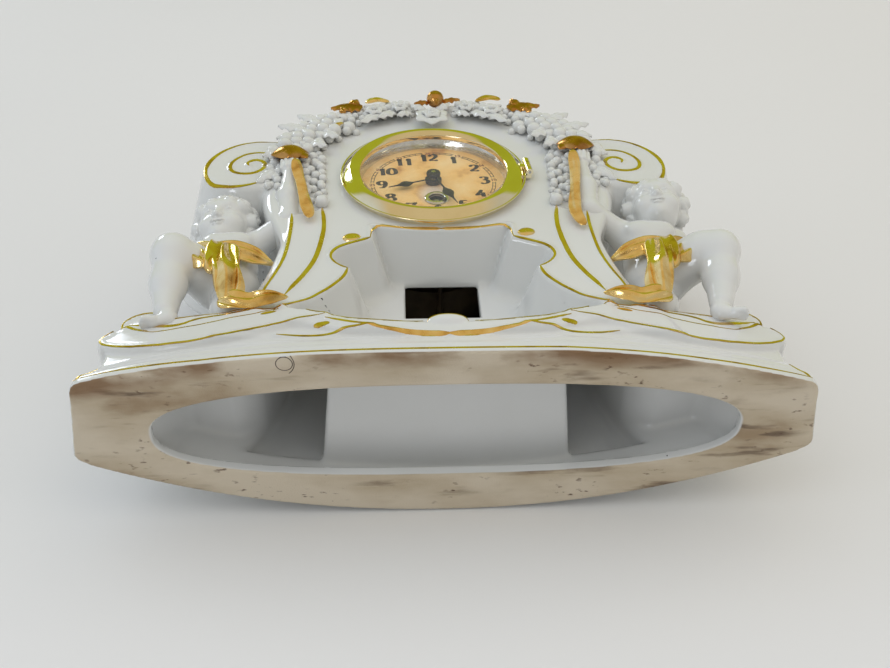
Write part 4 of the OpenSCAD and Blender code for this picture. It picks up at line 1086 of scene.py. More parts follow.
def folded(path, halfWidths, thickness, folds, depth, out, phase=0.0, count=72):
    """Cloth along a path: a flat closed section whose front rises and falls as a cosine across its width."""
    path = curveThrough(path, 0.8)
    share = np.linspace(0, 1, len(path))[:, None]
    half = np.interp(share[:, 0], np.linspace(0, 1, len(halfWidths)), halfWidths)[:, None]
    along = unit(np.gradient(path, axis=0))
    out = unit(np.asarray(out, float) - along * (along @ np.asarray(out, float))[:, None])
    across = np.cross(along, out)
    angle = np.linspace(0, 2 * np.pi, count, endpoint=False)[None, :]
    u = np.cos(angle) * (1 + 0.10 * np.sin(3 * np.pi * share + 2 * angle))
    fade = np.sqrt(np.maximum(0, 1 - np.cos(angle) ** 2)) * ease(np.minimum(share, 1 - share), 0, 0.22)
    drift = phase + 2.6 * share + 0.9 * np.sin(7 * share + 2 * u)
    wave = depth * fade * np.cos(folds * np.pi * u * (1 - 0.35 * share) + drift)
    lift = thickness * np.sin(angle) + wave * (np.sin(angle) > 0)
    taper = np.sqrt(np.maximum(0, 1 - np.abs(2 * share - 1) ** 7)) * 0.9 + 0.1
    sideways = across[:, None, :] * (half * u * taper)[..., None]
    return closedTube(path[:, None, :] + sideways + out[:, None, :] * (lift * taper)[..., None])


def tipDown(piece, amount):
    """Turns the normals of a piece down by an amount worked out from the heights of its points."""
    places, tips = np.empty((2, len(piece.data.vertices), 3))
    piece.data.vertices.foreach_get("co", places.ravel())
    piece.data.vertices.foreach_get("normal", tips.ravel())
    tips[:, 2] -= amount(places[:, 2] / millimetre)
    piece.data.normals_split_custom_set_from_vertices(unit(tips).astype(np.float32))


clothShape = {
    "band": dict(path=[(111, -28.5, 83), (105, -31.8, 79.5), (98, -33.6, 76), (90, -34.2, 75),
                       (82, -32.2, 74.4),
                       (72.5, -27.6, 72.6)], halfWidths=(2.4, 4.6, 5.4, 5.2, 4.4, 1.2), thickness=1.9, folds=2.6,
                 depth=1.1, out=(0, -1, -0.15)),
    "sag": dict(path=[(112, -30.5, 80), (108, -34.6, 71.5), (102.5, -36.2, 64.5), (97, -35.8, 62)],
                halfWidths=(2.8, 5.0, 5.0, 2.4), thickness=2.4, folds=1.7, depth=1.2, out=(0.2, -1, -0.2)),
    "knot": dict(path=[(97.5, -34.6, 78), (96.6, -37.4, 72), (97.4, -36.8, 64), (96.6, -35.2, 56)],
                 halfWidths=(3.0, 3.8, 3.6, 1.8), thickness=2.4, folds=1.5, depth=1.1, out=(0.15, -1, 0)),
    "fall": dict(path=[(92.5, -34.8, 78.5), (91.4, -37.4, 69), (89.6, -38.8, 59), (87.6, -38.9, 49),
                       (86.0, -37.8, 40), (85.2, -35.6, 32.5)],
                 halfWidths=(4.2, 5.4, 5.4, 5.0, 5.4, 5.2), thickness=1.9, folds=2.0, depth=1.4, out=(0, -1, 0)),
    "side_fold": dict(path=[(94.8, -34.8, 75), (94.6, -37.0, 64), (92.4, -37.6, 52), (90.6, -36.0, 40)],
                      halfWidths=(2.0, 2.6, 2.6, 1.6), thickness=1.8, folds=1.2, depth=0.7, out=(0.4, -1, 0)),
    "tail": dict(path=[(91, -35.8, 35.6), (84, -37.6, 34.6), (78, -36.8, 34.2), (71.5, -37.8, 34.8),
                       (63, -36.4, 37)],
                 halfWidths=(4.4, 5.0, 4.6, 3.4, 0.8), thickness=1.4, folds=2.2, depth=1.3, phase=0.8,
                 out=(0, -1, -0.1)),
}
points, faces = joined([folded(**settings) for settings in clothShape.values()])
pair("cloth", points, faces, "gilding", replaced="drape")
for side in ("right", "left"):
    tipDown(bpy.data.objects["cloth_" + side], lambda z: 0.42 * ease(-z, -60, -50) * ease(z, 36, 42))
print("cloths ready")


# Leaves, flowers and berries

def leaf(root, tip, width, out=(0, -1, 0), lobes=3, cup=1.4, thickness=0.9, arch=1.2, edge=0.26):
    """A lobed leaf as a closed sheet: half width W sin(pi u^0.7)^0.7 less a lobed edge, with a sunk vein."""
    root, tip = np.asarray(root, float), np.asarray(tip, float)
    length = np.linalg.norm(tip - root)
    along = (tip - root) / length
    out = unit(np.asarray(out, float) - along * np.dot(out, along))
    side = np.cross(along, out)
    u = np.linspace(0.01, 0.99, 34)[:, None]
    v = np.linspace(-1, 1, 19)[None, :]
    half = width / 2 * np.sin(np.pi * u ** 0.72) ** 0.7 * (1 - edge * np.abs(np.cos(np.pi * lobes * u)) ** 1.5)
    ribs = edge * (1.3 * np.cos(2 * np.pi * lobes * (u - 0.16 * np.abs(v)) + np.pi) * np.abs(v)
                   - 1.8 * np.exp(-(v / 0.14) ** 2))
    height = arch * np.sin(np.pi * u) - cup * v ** 2 * np.sin(np.pi * u) ** 0.5 + ribs
    front = (root + along * length * u[..., None] + side * (half * v)[..., None] + out * height[..., None])
    back = front - out * (thickness * (1 - 0.7 * v ** 4))[..., None]
    return closedTube(np.concatenate([front, back[:, ::-1]], axis=1))


def berries(places):
    """Round berries as x, y, z, radius: spheres with a small dimple at the front."""
    turn = np.linspace(0, 2 * np.pi, 20, endpoint=False)[None, :]
    fall = np.linspace(0.03, np.pi - 0.03, 13)[:, None]
    size = 1 - 0.16 * np.exp(-(fall / 0.34) ** 2)
    shape = np.stack(np.broadcast_arrays(np.sin(fall) * np.cos(turn) * size, -np.cos(fall) * size,
                                         np.sin(fall) * np.sin(turn) * size), -1)
    return joined([closedTube(shape * radius + (x, y, z)) for x, y, z, radius in places])


def flower(centre, radius, petals, out=(0, -1, 0), turn=0.0):
    """Petals round a middle, each a short cupped leaf."""
    centre = np.asarray(centre, float)
    out = unit(np.asarray(out, float))
    side = unit(np.cross(out, (0, 0, 1)))
    over = np.cross(side, out)
    parts = []
    for number in range(petals):
        a = turn + 2 * np.pi * number / petals
        way = side * math.cos(a) + over * math.sin(a)
        parts.append(leaf(centre + way * 0.15 * radius, centre + way * radius + out * 0.1, radius * 1.05,
                          out + way * 0.25, lobes=1, cup=1.0, thickness=1.0, arch=1.0, edge=0.12))
    parts.append(berries([(*(centre + out * 0.9), radius * 0.26)]))
    return parts


def onRim(turn, radius, lift):
    """A place on the front rim of the dome, by degrees from the top."""
    t = math.radians(turn)
    return np.array((radius * math.sin(t), -33.0 - lift, dialZ + radius * math.cos(t)))


def scattered(seed, count, turns, radii, lifts, sizes):
    """Berries spread over a stretch of the rim in rows by the golden ratio, each a little off its place."""
    chance = np.random.default_rng(seed)
    number = np.arange(count)
    turn = turns[0] + (turns[1] - turns[0]) * (number + 0.5) / count
    row = (number * 0.618) % 1
    radius = radii[0] + (radii[1] - radii[0]) * row
    lift = lifts[0] + (lifts[1] - lifts[0]) * (1 - (2 * row - 1) ** 2) + chance.uniform(-0.5, 0.5, count)
    size = chance.uniform(*sizes, count)
    return [(*onRim(t, r, h), s) for t, r, h, s in zip(turn, radius, lift, size)]


garlandShape = {
    "swell": [("limb", tuple(onRim(8, 75, -2)), 4.4, tuple(onRim(24, 77, -2.5)), 5.0, 1),
              ("limb", tuple(onRim(24, 77, -2.5)), 5.0, tuple(onRim(42, 76, -2.5)), 5.2, 3)],
    "berries": scattered(3, 34, (9, 42), (68, 81), (1.2, 3.4), (1.5, 2.5)),
    "leaves": [dict(root=(11, -36, 205), tip=(22, -37, 209.5), width=8),
               dict(root=(12, -36.5, 203), tip=(19, -38, 196), width=7),
               dict(root=(24, -36, 207), tip=(37, -37, 209.5), width=9),
               dict(root=(27, -36.5, 203), tip=(38, -38.5, 187), width=9),
               dict(root=(20, -36.5, 204), tip=(29, -38.6, 192.5), width=8),
               dict(root=(41, -36.5, 201), tip=(54, -38.5, 194.5), width=9),
               dict(root=(52, -36, 196), tip=(66, -37, 193), width=9)],
}
points, faces, normals = Net(lambda x, y, z: built(x, y, z, garlandShape["swell"]),
                             (4, -44, 185), (64, -24, 222), 0.8).surface()
pair("swag", points, faces, "porcelain", normals)
parts = [leaf(**settings) for settings in garlandShape["leaves"]] + [berries(garlandShape["berries"])]
parts += flower((31, -38.5, 201.5), 5.2, 6, turn=0.3) + flower((17.5, -38.5, 205), 4.4, 6, turn=0.1)
points, faces = joined(parts)
pair("garland_leaves", points, faces, "porcelain")
middle = flower((-1, -38.5, 194), 9.4, 6, turn=math.pi / 6) + flower((-1, -40, 194.5), 5.4, 5, turn=0.2)
middle += [leaf((2, -37.5, 203), (9, -38, 210), 6.5), leaf((-4, -37.5, 203), (-12, -38, 208.5), 6.5)]
piece = mergePoles(makePiece("garland_flower", *joined(middle), "porcelain"))
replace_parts(piece, "garland")
gold = [berries([(1.5, -38.5, 214.0, 4.6)]), leaf((5, -37.5, 213.5), (15, -37.5, 216), 5.4),
        leaf((-2, -37.5, 212.5), (-10, -37.5, 211), 5.0), leaf((1.5, -40.5, 211), (1.8, -39.5, 204.5), 4.6)]
mergePoles(makePiece("top_ball", *joined(gold), "copperGold"))
goldLeaves = {
    "right": [dict(root=(39, -38.8, 203.5), tip=(57, -39.0, 205), width=11.5, lobes=4),
              dict(root=(45, -39.4, 204), tip=(42, -39.4, 212), width=7),
              dict(root=(48, -39.4, 203), tip=(51, -39.4, 196.5), width=6.5)],
    "left": [dict(root=(-37, -38.8, 205), tip=(-54, -39.0, 203), width=11.5, lobes=4),
             dict(root=(-43, -39.4, 205), tip=(-40, -39.4, 212), width=7),
             dict(root=(-46, -39.4, 203.5), tip=(-48, -39.4, 196.5), width=6.5)],
}
for side, leaves in goldLeaves.items():
    mergePoles(makePiece("gold_leaf_" + side, *joined([leaf(**settings) for settings in leaves]), "copperGold"))
bandShape = [
    # path, half widths, thickness, depth of the folds
    ([(23, -37.5, 213.5), (30, -38.2, 216), (37, -37.4, 215.5)], (1.2, 2.6, 1.4), 0.9, 0.3),
    ([(-23, -37.5, 213), (-30, -38.2, 214.5), (-36, -37.4, 212)], (1.2, 2.8, 1.4), 0.9, 0.3),
    ([(-47, -38, 188), (-49.5, -38.6, 184.5), (-51.5, -38, 181.5)], (1.0, 1.8, 0.9), 0.8, 0.2),
]
gold = [folded(path, halves, thick, 1.0, depth, (0, -1, 0)) for path, halves, thick, depth in bandShape]
mergePoles(makePiece("gold_bands", *joined(gold), "gilding"))
print("garland ready")

fruitShape = {
    "swell": [("limb", tuple(onRim(42, 76, -2.5)), 6.0, tuple(onRim(60, 75, -2.0)), 6.4, 1),
              ("limb", tuple(onRim(60, 75, -2.0)), 6.4, tuple(onRim(78, 72, -1.0)), 4.6, 3),
              ("limb", (77, -30, 147), 5.0, (79, -27, 126), 3.4, 3)],
    "large": scattered(7, 22, (41, 74), (66, 84), (2.4, 4.6), (2.9, 3.9)),
    "small": scattered(11, 46, (40, 78), (62, 86), (1.2, 4.4), (1.6, 2.7)),
    "drops": [(60.5 - 0.12 * k + 4.2 * math.sin(k * 2.4), -33.6 - 1.5 * math.cos(k * 1.7) ** 2,
               156 - 1.4 * k, 2.5 - 0.03 * k) for k in range(30)] + [(54, -35.0, 113, 3.2)],
    "side": [(78.5 + 3.0 * math.sin(k * 2.3), -32.5 - 2.2 * math.cos(k * 1.9) ** 2, 151 - 1.7 * k, 2.6 - 0.06 * k)
             for k in range(14)],
    "leaves": [dict(root=(59, -38, 190), tip=(71, -38.5, 196), width=9),
               dict(root=(68, -38, 176), tip=(79.5, -38.5, 170), width=9),
               dict(root=(66, -38, 182), tip=(80, -38.5, 184), width=9.5),
               dict(root=(57, -38, 178), tip=(48.5, -39, 170), width=9),
               dict(root=(62, -38, 168), tip=(54, -39, 160), width=8.5),
               dict(root=(76, -38, 160), tip=(85, -37, 154), width=8),
               dict(root=(78, -36, 143), tip=(86, -34, 133), width=7.5)],
}
points, faces, normals = Net(lambda x, y, z: built(x, y, z, fruitShape["swell"]),
                             (42, -44, 118), (90, -20, 204), 0.9).surface()
pair("fruit_swell", points, faces, "porcelain", normals, replaced="fruit")
parts = [berries(fruitShape[name]) for name in ("large", "small", "drops", "side")]
parts += [leaf(**settings) for settings in fruitShape["leaves"]]
points, faces = joined(parts)
pair("berries", points, faces, "porcelain")
capShape = {
    "right": [dict(root=(70, -38.0, 168), tip=(68.5, -42.6, 150.5), width=19, lobes=1, cup=4.6, arch=3.4,
                   edge=0.06),
              dict(root=(66, -38.6, 162), tip=(60.4, -40.6, 153), width=7, lobes=1, cup=1.5, edge=0.05)],
    "left": [dict(root=(-72, -38.0, 160), tip=(-70.5, -42.6, 143.5), width=18.5, lobes=1, cup=4.6, arch=3.4,
                  edge=0.06),
             dict(root=(-68, -38.6, 154), tip=(-62.4, -40.6, 146), width=7, lobes=1, cup=1.5, edge=0.05)],
}
for side, leaves in capShape.items():
    mergePoles(makePiece("cap_" + side, *joined([leaf(**settings) for settings in leaves]), "copperGold"))
ribbonShape = {
    "right": dict(path=[(66.5, -40.8, 151), (66.0, -40.6, 145), (65.6, -39.8, 137), (64.8, -39.4, 130),
                        (63.8, -38.7, 122), (62.6, -38.2, 114), (61.4, -37.4, 106), (60.8, -37.5, 99),
                        (61.6, -37.4, 93), (63.6, -36.6, 88)],
                  halfWidths=(2.5, 2.6, 2.5, 2.6, 2.6, 2.8, 2.6, 2.9), thickness=0.8, folds=1.0, depth=0.4,
                  out=(-0.2, -1, 0), count=24),
    "left": dict(path=[(-67.5, -40.8, 144), (-67.0, -40.6, 139), (-65.6, -39.6, 131), (-64.0, -39.0, 124),
                       (-62.4, -38.2, 116), (-60.8, -37.9, 108), (-59.2, -37.4, 101), (-58.4, -37.3, 95.5)],
                 halfWidths=(2.4, 2.6, 2.4, 2.7, 2.6, 2.9, 2.7), thickness=0.8, folds=1.0, depth=0.4,
                 out=(0.2, -1, 0), count=24),
}
for side, settings in ribbonShape.items():
    piece = mergePoles(makePiece("hanging_ribbon_" + side, *folded(**settings), "gilding"))
    tipDown(piece, lambda z: 0.46 + 0 * z)
    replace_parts(piece, "ribbon_" + side)
print("fruit and ribbons ready")


# Dial, glass and hands

dialShape = {
    "front": dialFront,
    "hourRadius": 24.7,
    "hourHeight": 6.3,
    "lateRadius": 29.3,
    "lateHeight": 2.0,
    "trackRadii": (28.6, 30.0),
    "inkStands": 0.10,
}
# Pen strokes of each figure in a box one high and two thirds wide: each stroke is a run of points (across, up)
penStrokes = {
    "0": [[(0.30, 0.0), (0.06, 0.2), (0.03, 0.5), (0.10, 0.82), (0.30, 1.0), (0.50, 0.82), (0.57, 0.5),
           (0.54, 0.2), (0.30, 0.0)]],
    "1": [[(0.14, 0.74), (0.24, 0.84), (0.32, 1.0), (0.32, 0.5), (0.32, 0.0)], [(0.16, 0.02), (0.48, 0.02)]],
    "2": [[(0.06, 0.74), (0.14, 0.94), (0.32, 1.0), (0.50, 0.90), (0.52, 0.68), (0.36, 0.40),
           (0.14, 0.18), (0.04, 0.02)], [(0.04, 0.04), (0.30, 0.06), (0.48, 0.02), (0.58, 0.14)]],
    "3": [[(0.06, 0.86), (0.20, 1.0), (0.44, 0.96), (0.50, 0.78), (0.40, 0.60), (0.22, 0.54)],
          [(0.22, 0.54), (0.46, 0.50), (0.56, 0.28), (0.44, 0.06), (0.22, -0.02), (0.04, 0.12)]],
    "4": [[(0.40, 1.0), (0.24, 0.66), (0.02, 0.30), (0.30, 0.32), (0.60, 0.32)], [(0.44, 0.62), (0.44, 0.0)]],
    "5": [[(0.52, 0.98), (0.30, 0.98), (0.14, 0.96), (0.10, 0.56), (0.28, 0.62), (0.50, 0.52),
           (0.56, 0.28), (0.42, 0.04), (0.20, -0.02), (0.04, 0.12)]],
    "6": [[(0.50, 0.94), (0.30, 0.98), (0.12, 0.74), (0.05, 0.36), (0.14, 0.06), (0.32, 0.0),
           (0.52, 0.12), (0.54, 0.34), (0.42, 0.52), (0.22, 0.52), (0.08, 0.34)]],
    "7": [[(0.02, 0.84), (0.06, 0.98), (0.30, 0.94), (0.58, 0.98), (0.42, 0.66), (0.26, 0.34), (0.20, 0.0)]],
    "8": [[(0.30, 0.54), (0.12, 0.66), (0.10, 0.86), (0.30, 1.0), (0.50, 0.86), (0.48, 0.66),
           (0.30, 0.54), (0.08, 0.38), (0.05, 0.14), (0.30, 0.0), (0.55, 0.14), (0.52, 0.38), (0.30, 0.54)]],
    "9": [[(0.10, 0.06), (0.30, 0.02), (0.48, 0.26), (0.55, 0.64), (0.46, 0.94), (0.28, 1.0),
           (0.08, 0.88), (0.06, 0.66), (0.18, 0.48), (0.38, 0.48), (0.52, 0.66)]],
}


def onDial(u, w, stands):
    return inCase(u, dialShape["front"] - stands, w)


def inkStroke(points, place, height, heavy):
    """One pen stroke as a low solid: half width = thin + heavy |up-down share of its direction|."""
    path = curveThrough(points, 0.06)
    way = unit(np.gradient(path, axis=0))
    half = 0.045 + heavy * np.abs(way[:, 1]) ** 1.5
    share = np.linspace(0, 1, len(path))
    half = half * np.minimum(1, 0.5 + 8 * np.minimum(share, share[::-1]))
    across = np.stack([-way[:, 1], way[:, 0]], -1)
    rings = []
    for side, stands in ((1, dialShape["inkStands"]), (-1, dialShape["inkStands"]), (-1, -0.05), (1, -0.05)):
        flat = ((path + side * across * half[:, None]) - (0.30, 0.5)) * (1.12 * height, height)
        rings.append(onDial(place[0] + flat[:, 0], place[1] + flat[:, 1], stands))
    return closedTube(np.stack(rings, 1))


def numeral(text, turn, radius, height, heavy):
    """Figures that stand upright, side by side about a place on their ring."""
    t = math.radians(turn)
    parts, advance = [], 0.72 * height
    for number, sign in enumerate(text):
        shift = (number - (len(text) - 1) / 2) * advance
        place = (radius * math.sin(t) + shift, radius * math.cos(t))
        parts += [inkStroke(points, place, height, heavy) for points in penStrokes[sign]]
    return parts


def ringPart(radius, half, start, end):
    """A low flat stretch of a ring on the dial, between two angles in degrees from the top."""
    angle = np.radians(np.linspace(start, end, 16))[:, None]
    across = radius + half * np.array([-1, 1, 1, -1])[None, :]
    depth = np.array([0.09, 0.09, -0.05, -0.05])[None, :]
    return closedTube(onDial(across * np.sin(angle), across * np.cos(angle), depth + 0 * angle))


def tick(turn, inner, outer, half):
    t = math.radians(turn)
    rings = []
    for radius in (inner, outer):
        rings.append([onDial(radius * math.sin(t) + side * half * math.cos(t),
                             radius * math.cos(t) - side * half * math.sin(t), stands)
                      for side, stands in ((1, 0.09), (-1, 0.09), (-1, -0.05), (1, -0.05))])
    return closedTube(np.array(rings))


hourParts, lateParts = [], []
for hour in range(1, 13):
    hourParts += numeral(str(hour), 30 * hour, dialShape["hourRadius"], dialShape["hourHeight"], 0.105)
    lateParts += numeral(str(hour + 12), 30 * hour, dialShape["lateRadius"], dialShape["lateHeight"], 0.06)
mergePoles(makePiece("hour_figures", *joined(hourParts), "ink"), 40)
mergePoles(makePiece("late_hour_figures", *joined(lateParts), "redInk"), 40)
inner, outer = dialShape["trackRadii"]
track = [ringPart(radius, 0.15, 30 * hour + 4.5, 30 * hour + 25.5)
         for hour in range(12) for radius in (inner, outer)]
track += [tick(6 * minute, inner, outer, 0.11) for minute in range(60) if minute % 5]
mergePoles(makePiece("minute_track", *joined(track), "ink"), 40)

bezelProfile = [(35.0, -36.1), (43.6, -36.1), (44.2, -36.15), (44.3, -36.5), (44.0, -36.8),
                (43.5, -36.75), (43.3, -37.0), (42.2, -38.0), (40.8, -39.1), (39.6, -39.9),
                (38.7, -40.15), (37.6, -39.9), (36.2, -39.2), (35.2, -38.6), (34.9, -38.2), (34.9, -37.0)]


def smoothProfile(profile, keep):
    """Rounds a closed profile: the points from index keep onwards become a smooth curve."""
    return np.vstack([profile[:keep], curveThrough(profile[keep:], 0.35)])


rehautProfile = [(34.45, -31.0), (35.0, -31.0), (36.8, -33.6), (36.8, -35.9), (36.1, -35.95),
                 (35.75, -35.5), (35.2, -33.4), (34.5, -31.4)]
eyeletProfile = [(3.5, -30.9), (4.2, -30.95), (5.2, -31.02), (5.9, -31.05), (5.95, -31.35), (5.6, -31.75),
                 (5.0, -32.1), (4.3, -32.2), (3.75, -32.0), (3.5, -31.6)]
print("dial ready")


def spadeHand(name, length, plane, thickness, turn, body, hub):
    """A hand as a crowned spade: half outline y(s) along its length, its height falling to the edges."""
    s = np.linspace(0, 1, 90)
    half = np.interp(s, [0, 0.10, 0.30, 0.44, 0.50, 0.56, 0.62, 0.68, 0.74, 0.82, 0.92, 1.0],
                     [1.25, 0.75, 0.55, 0.50, 1.25, 2.35, 2.75, 2.35, 1.35, 0.62, 0.35, 0.10])
    v = np.array([-1, -0.6, 0, 0.6, 1, 0.6, 0, -0.6])
    lift = np.array([0.35, 0.8, 1.0, 0.8, 0.35, 0, 0, 0])
    c, r = math.cos(math.radians(turn)), math.sin(math.radians(turn))
    along = s[:, None] * length
    across = half[:, None] * v
    depth = plane - lift * thickness + 0 * across
    parts = [closedTube(inCase(along * r + across * c, depth, along * c - across * r))]
    angle = np.linspace(0, 2 * np.pi, 64, endpoint=False)[:, None]
    profile = np.array(hub)
    points = inCase(profile[:, 0] * np.cos(angle), profile[:, 1] + 0 * angle, profile[:, 0] * np.sin(angle))
    parts.append((points.reshape(-1, 3), gridFaces(64, len(profile), True, True)))
    return mergePoles(makePiece(name, *joined(parts), "black", body), 35)


minuteHub = [(1.0, -34.6), (2.9, -34.65), (3.35, -35.1), (3.4, -36.1), (3.1, -36.7), (2.3, -36.9), (1.0, -36.9)]
hourHub = [(2.25, -31.45), (3.9, -31.45), (4.0, -31.8), (4.0, -33.1), (3.6, -33.48), (2.25, -33.48)]
hour, minute = 8, 27  # the time that the hands show at rest
hand = spadeHand("spade_minute_hand", 27.4, -34.62, 0.46, 6 * minute, "hands_arbor", minuteHub)
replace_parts(hand, "minute_hand")
hand = spadeHand("spade_hour_hand", 22.9, -33.02, 0.46, 30 * (hour + minute / 60), "hour_pipe", hourHub)
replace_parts(hand, "hour_hand")
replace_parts(turned("rehaut", rehautProfile, "nickel", steps=160), "rehaut_ring")
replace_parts(turned("eyelet", eyeletProfile, "nickel", steps=72, at=(0, -15.4), sharp=None), "winding_eyelet")
rim = turned("bezel_rim", smoothProfile(bezelProfile, 2), "bezel", "bezel", steps=240, sharp=50)
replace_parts(rim, "bezel_ring")
hingeShape = {
    "middle": (45.6, -37.6),
    "barrel": [(0.78, -1.8), (1.5, -1.8), (1.7, -1.6), (1.7, 1.6), (1.5, 1.8), (0.78, 1.8)],
    "tab": [(-37.3, -1.5), (-37.3, 1.5), (-38.4, 1.5), (-38.4, -1.5)],
    "tabPlaces": (40.5, 42.5, 44.2),
    "steps": 40,
}
knuckle = np.array(hingeShape["barrel"])
angle = np.linspace(0, 2 * np.pi, hingeShape["steps"], endpoint=False)[:, None]
barrel = inCase(hingeShape["middle"][0] + knuckle[:, 0] * np.cos(angle),
                hingeShape["middle"][1] + knuckle[:, 0] * np.sin(angle), knuckle[:, 1] + 0 * angle).reshape(-1, 3)
tab = np.array([[inCase(u, y, w) for y, w in hingeShape["tab"]] for u in hingeShape["tabPlaces"]])
parts = [(barrel, gridFaces(hingeShape["steps"], len(knuckle), True, True)), closedTube(tab)]
piece = makePiece("bezel_knuckle", *joined(parts), "bezel", "bezel")
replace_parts(mergePoles(piece, 35), "bezel_ring")
glassShape = {"radius": 36.5, "crown": 4.5, "front": -37.6, "back": -36.45}
reach = np.linspace(0.04, glassShape["radius"], 26)
crown = glassShape["crown"] * (1 - (reach / glassShape["radius"]) ** 2)
glassProfile = np.vstack([np.stack([reach, glassShape["front"] - crown], -1),
                          np.stack([reach, glassShape["back"] - crown], -1)[::-1]])
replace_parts(turned("glass_dome", glassProfile, "glass", "bezel", steps=120, sharp=60), "bezel_glass")

nodeFinish = {
    "dialFace": ["dial"],
    "bezel": ["dial_ring", "bezel_ring"],
    "oxidised": ["rear_pan", "clamp_screws"],
    "brass": ["front_plate", "back_plate", "plate_pillars", "dial_feet", "barrel", "centre_wheel", "minute_wheel",
              "hour_wheel", "third_wheel", "fourth_wheel", "escape_wheel", "balance_wheel", "set_knob"],
    "steel": ["hinge_pin", "pillar_nuts", "winding_arbor", "ratchet_wheel", "click", "click_screw", "minute_arbor",
              "minute_post", "pallet_lever", "regulator"],
    "blued": ["mainspring", "balance_spring"],
}
for finish, names in nodeFinish.items():
    for name in names:
        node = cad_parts[name]
        node.data.materials.clear()
        node.data.materials.append(finishes[finish])
print("movement finished")

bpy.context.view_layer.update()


# Stage, light and camera

def stagePlane(name, corners, hidden):
    """A pale plane that only shows its front, with painted light: paler and bluer low down; hidden names the kinds
    of ray that pass through it.
    """
    mesh = bpy.data.meshes.new(name)
    mesh.from_pydata(corners, [], [(0, 1, 2, 3)])
    plane = bpy.data.objects.new(name, mesh)
    bpy.context.scene.collection.objects.link(plane)
    material, net, shader = startMaterial(name)
    plain = net.ramp(net.noise(2, 2), [(0.3, stageLook["pale"]), (0.7, stageLook["paler"])])
    place = net.new("ShaderNodeTexCoord")
    split = net.new("ShaderNodeSeparateXYZ")
    net.link(place.outputs["Object"], split.inputs["Vector"])
    # Painted light: the lower part of the plane is painted paler and bluer, standing in for light that falls there
    below = net.levels(split.outputs["Z"], 1, 0, -0.22, 0.02)
    net.link(net.mix(below, plain, stageLook["paintedLightLow"]), shader.inputs["Base Color"])
    net.link(net.levels(net.noise(9, 2), 0.75, 0.85), shader.inputs["Roughness"])
    shader.inputs["Specular IOR Level"].default_value = 0.15
    net.bump(shader, net.noise(700, 2), 0.05, 0.0001)
    facing = net.new("ShaderNodeNewGeometry")
    path = net.new("ShaderNodeLightPath")
    through = facing.outputs["Backfacing"]
    for kind in hidden:
        through = net.maths("MAXIMUM", through, path.outputs[kind])
    clear = net.new("ShaderNodeBsdfTransparent")
    mix = net.new("ShaderNodeMixShader")
    net.link(through, mix.inputs["Fac"])
    net.link(shader.outputs["BSDF"], mix.inputs[1])
    net.link(clear.outputs["BSDF"], mix.inputs[2])
    net.link(mix.outputs["Shader"], net.nodes["Material Output"].inputs["Surface"])
    mesh.materials.append(material)


stageLook = {
    "pale": (0.755, 0.75, 0.735),
    "paler": (0.785, 0.78, 0.765),
    # Painted light: the paler, bluer colour painted on the lower part of the planes
    "paintedLightLow": (0.86, 0.86, 0.885),
    "reach": 4.0,
    "backdrop": 0.0495,
    "ambient": (0.78, 0.79, 0.80),
    "ambientStrength": 0.70,
    # Mirror zones: way they lie, colour, cosine where each starts and fills
    "zones": [((0.0, -0.95, -0.30), (0.60, 0.50, 0.33), 0.55, 0.80),
              ((-0.85, -0.40, 0.10), (0.62, 0.68, 0.76), 0.80, 0.92),
              ((0.0, -0.20, 0.98), (0.36, 0.40, 0.03), 0.46, 0.54),
              ((-0.56, -0.16, -0.81), (7.0, 7.3, 8.0), 0.984, 0.990),
              ((-0.44, -0.10, -0.89), (5.0, 5.2, 5.6), 0.990, 0.995),
              ((-0.54, -0.27, 0.797), (8.0, 8.6, 9.6), 0.990, 0.994),
              ((-0.42, -0.10, 0.90), (5.0, 5.4, 6.0), 0.996, 0.998)],
    "glossy": (0.50, 0.48, 0.44),
    "lamps": [("cool_lamp", (-1.2, -1.4, 0.25), (0.73, 0.87, 1.0), 10.0, 2.2),
              ("warm_lamp", (1.2, -1.3, 0.25), (1.0, 0.84, 0.52), 7.5, 2.2),
              ("front_lamp", (-0.1, -1.6, 0.15), (1.0, 0.99, 0.97), 5.0, 2.2)],
}
r, d = stageLook["reach"], stageLook["backdrop"]
stagePlane("backdrop", [(-r, d, -r), (r, d, -r), (r, d, r), (-r, d, r)], ())
stagePlane("floor", [(-r, -r, -0.0004), (r, -r, -0.0004), (r, r, -0.0004), (-r, r, -0.0004)],
           ("Is Shadow Ray", "Is Diffuse Ray", "Is Glossy Ray"))

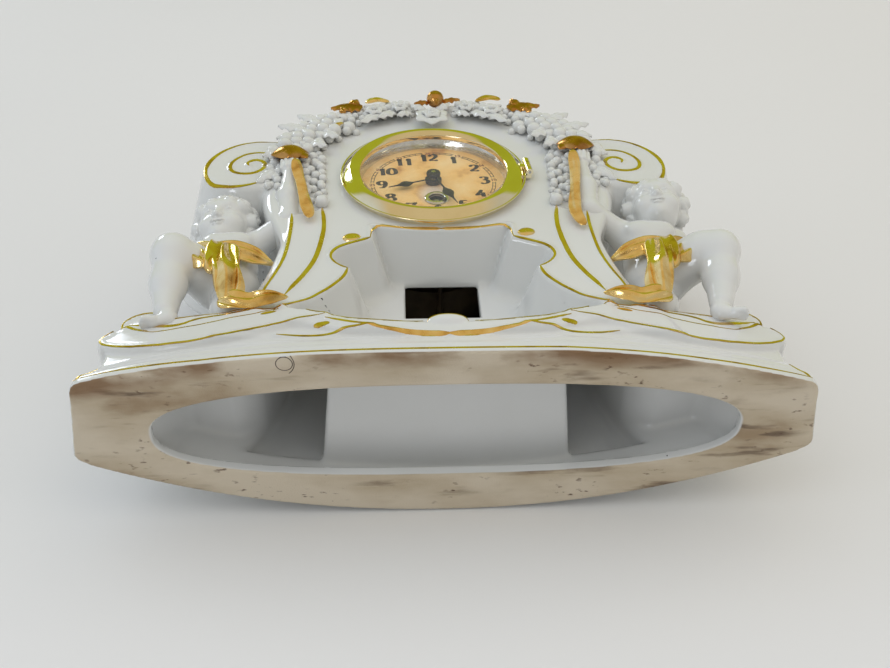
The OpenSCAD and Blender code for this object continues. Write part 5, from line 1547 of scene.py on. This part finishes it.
world = bpy.data.worlds.new("room")
bpy.context.scene.world = world
net = Shading(world)
background = net.nodes["Background"]
background.inputs["Color"].default_value = (*stageLook["ambient"], 1)
background.inputs["Strength"].default_value = stageLook["ambientStrength"]
place = net.new("ShaderNodeTexCoord")
colour = stageLook["glossy"]
for way, tint, start, full in stageLook["zones"]:
    towards = net.vector("DOT_PRODUCT", place.outputs["Generated"], way)
    colour = net.mix(net.levels(towards, 0, 1, start, full), colour, tint)
mirror = net.new("ShaderNodeBackground")
net.link(colour, mirror.inputs["Color"])
path = net.new("ShaderNodeLightPath")
mix = net.new("ShaderNodeMixShader")
net.link(path.outputs["Is Glossy Ray"], mix.inputs["Fac"])
net.link(background.outputs["Background"], mix.inputs[1])
net.link(mirror.outputs["Background"], mix.inputs[2])
net.link(mix.outputs["Shader"], net.nodes["World Output"].inputs["Surface"])

for name, spot, tint, energy, size in stageLook["lamps"]:
    lamp = bpy.data.lights.new(name, "AREA")
    lamp.size, lamp.energy, lamp.color = size, energy, tint
    holder = bpy.data.objects.new(name, lamp)
    holder.location = spot
    holder.rotation_euler = (Vector((0, 0, 0.1)) - Vector(spot)).to_track_quat("-Z", "Y").to_euler()
    holder.visible_glossy = False  # the mirror zones stand in for what shiny pieces reflect
    bpy.context.scene.collection.objects.link(holder)

cameraFit = {
    "pitch": 38.0,
    "yaw": -3.09,
    "roll": 1.01,
    "spot": (-0.018, -0.270, -0.287),
    "lens": 40.449,
}


def placeCamera():
    """Turns the camera by pitch, yaw and roll about the axes of a clock that lies on its back."""
    pitch, yaw, roll = (math.radians(cameraFit[name]) for name in ("pitch", "yaw", "roll"))
    ahead, up = (0, math.cos(pitch), -math.sin(pitch)), (0, math.sin(pitch), math.cos(pitch))
    right = (1, 0, 0)
    turn = np.array([(math.cos(yaw), -math.sin(yaw), 0), (math.sin(yaw), math.cos(yaw), 0), (0, 0, 1)])
    ahead, up, right = turn @ ahead, turn @ up, turn @ right
    right, up = math.cos(roll) * right + math.sin(roll) * up, math.cos(roll) * up - math.sin(roll) * right
    rows = [Vector((v[0], -v[2], v[1])) for v in (right, up, -ahead)]
    camera = bpy.data.cameras.new("camera")
    holder = bpy.data.objects.new("camera", camera)
    bpy.context.scene.collection.objects.link(holder)
    bpy.context.scene.camera = holder
    holder.matrix_world = Matrix.Translation(cameraFit["spot"]) @ Matrix(rows).transposed().to_4x4()
    camera.sensor_width, camera.lens, camera.clip_start = 36, cameraFit["lens"], 0.01


placeCamera()
bpy.context.scene.view_settings.view_transform = "Standard"
print("stage ready")
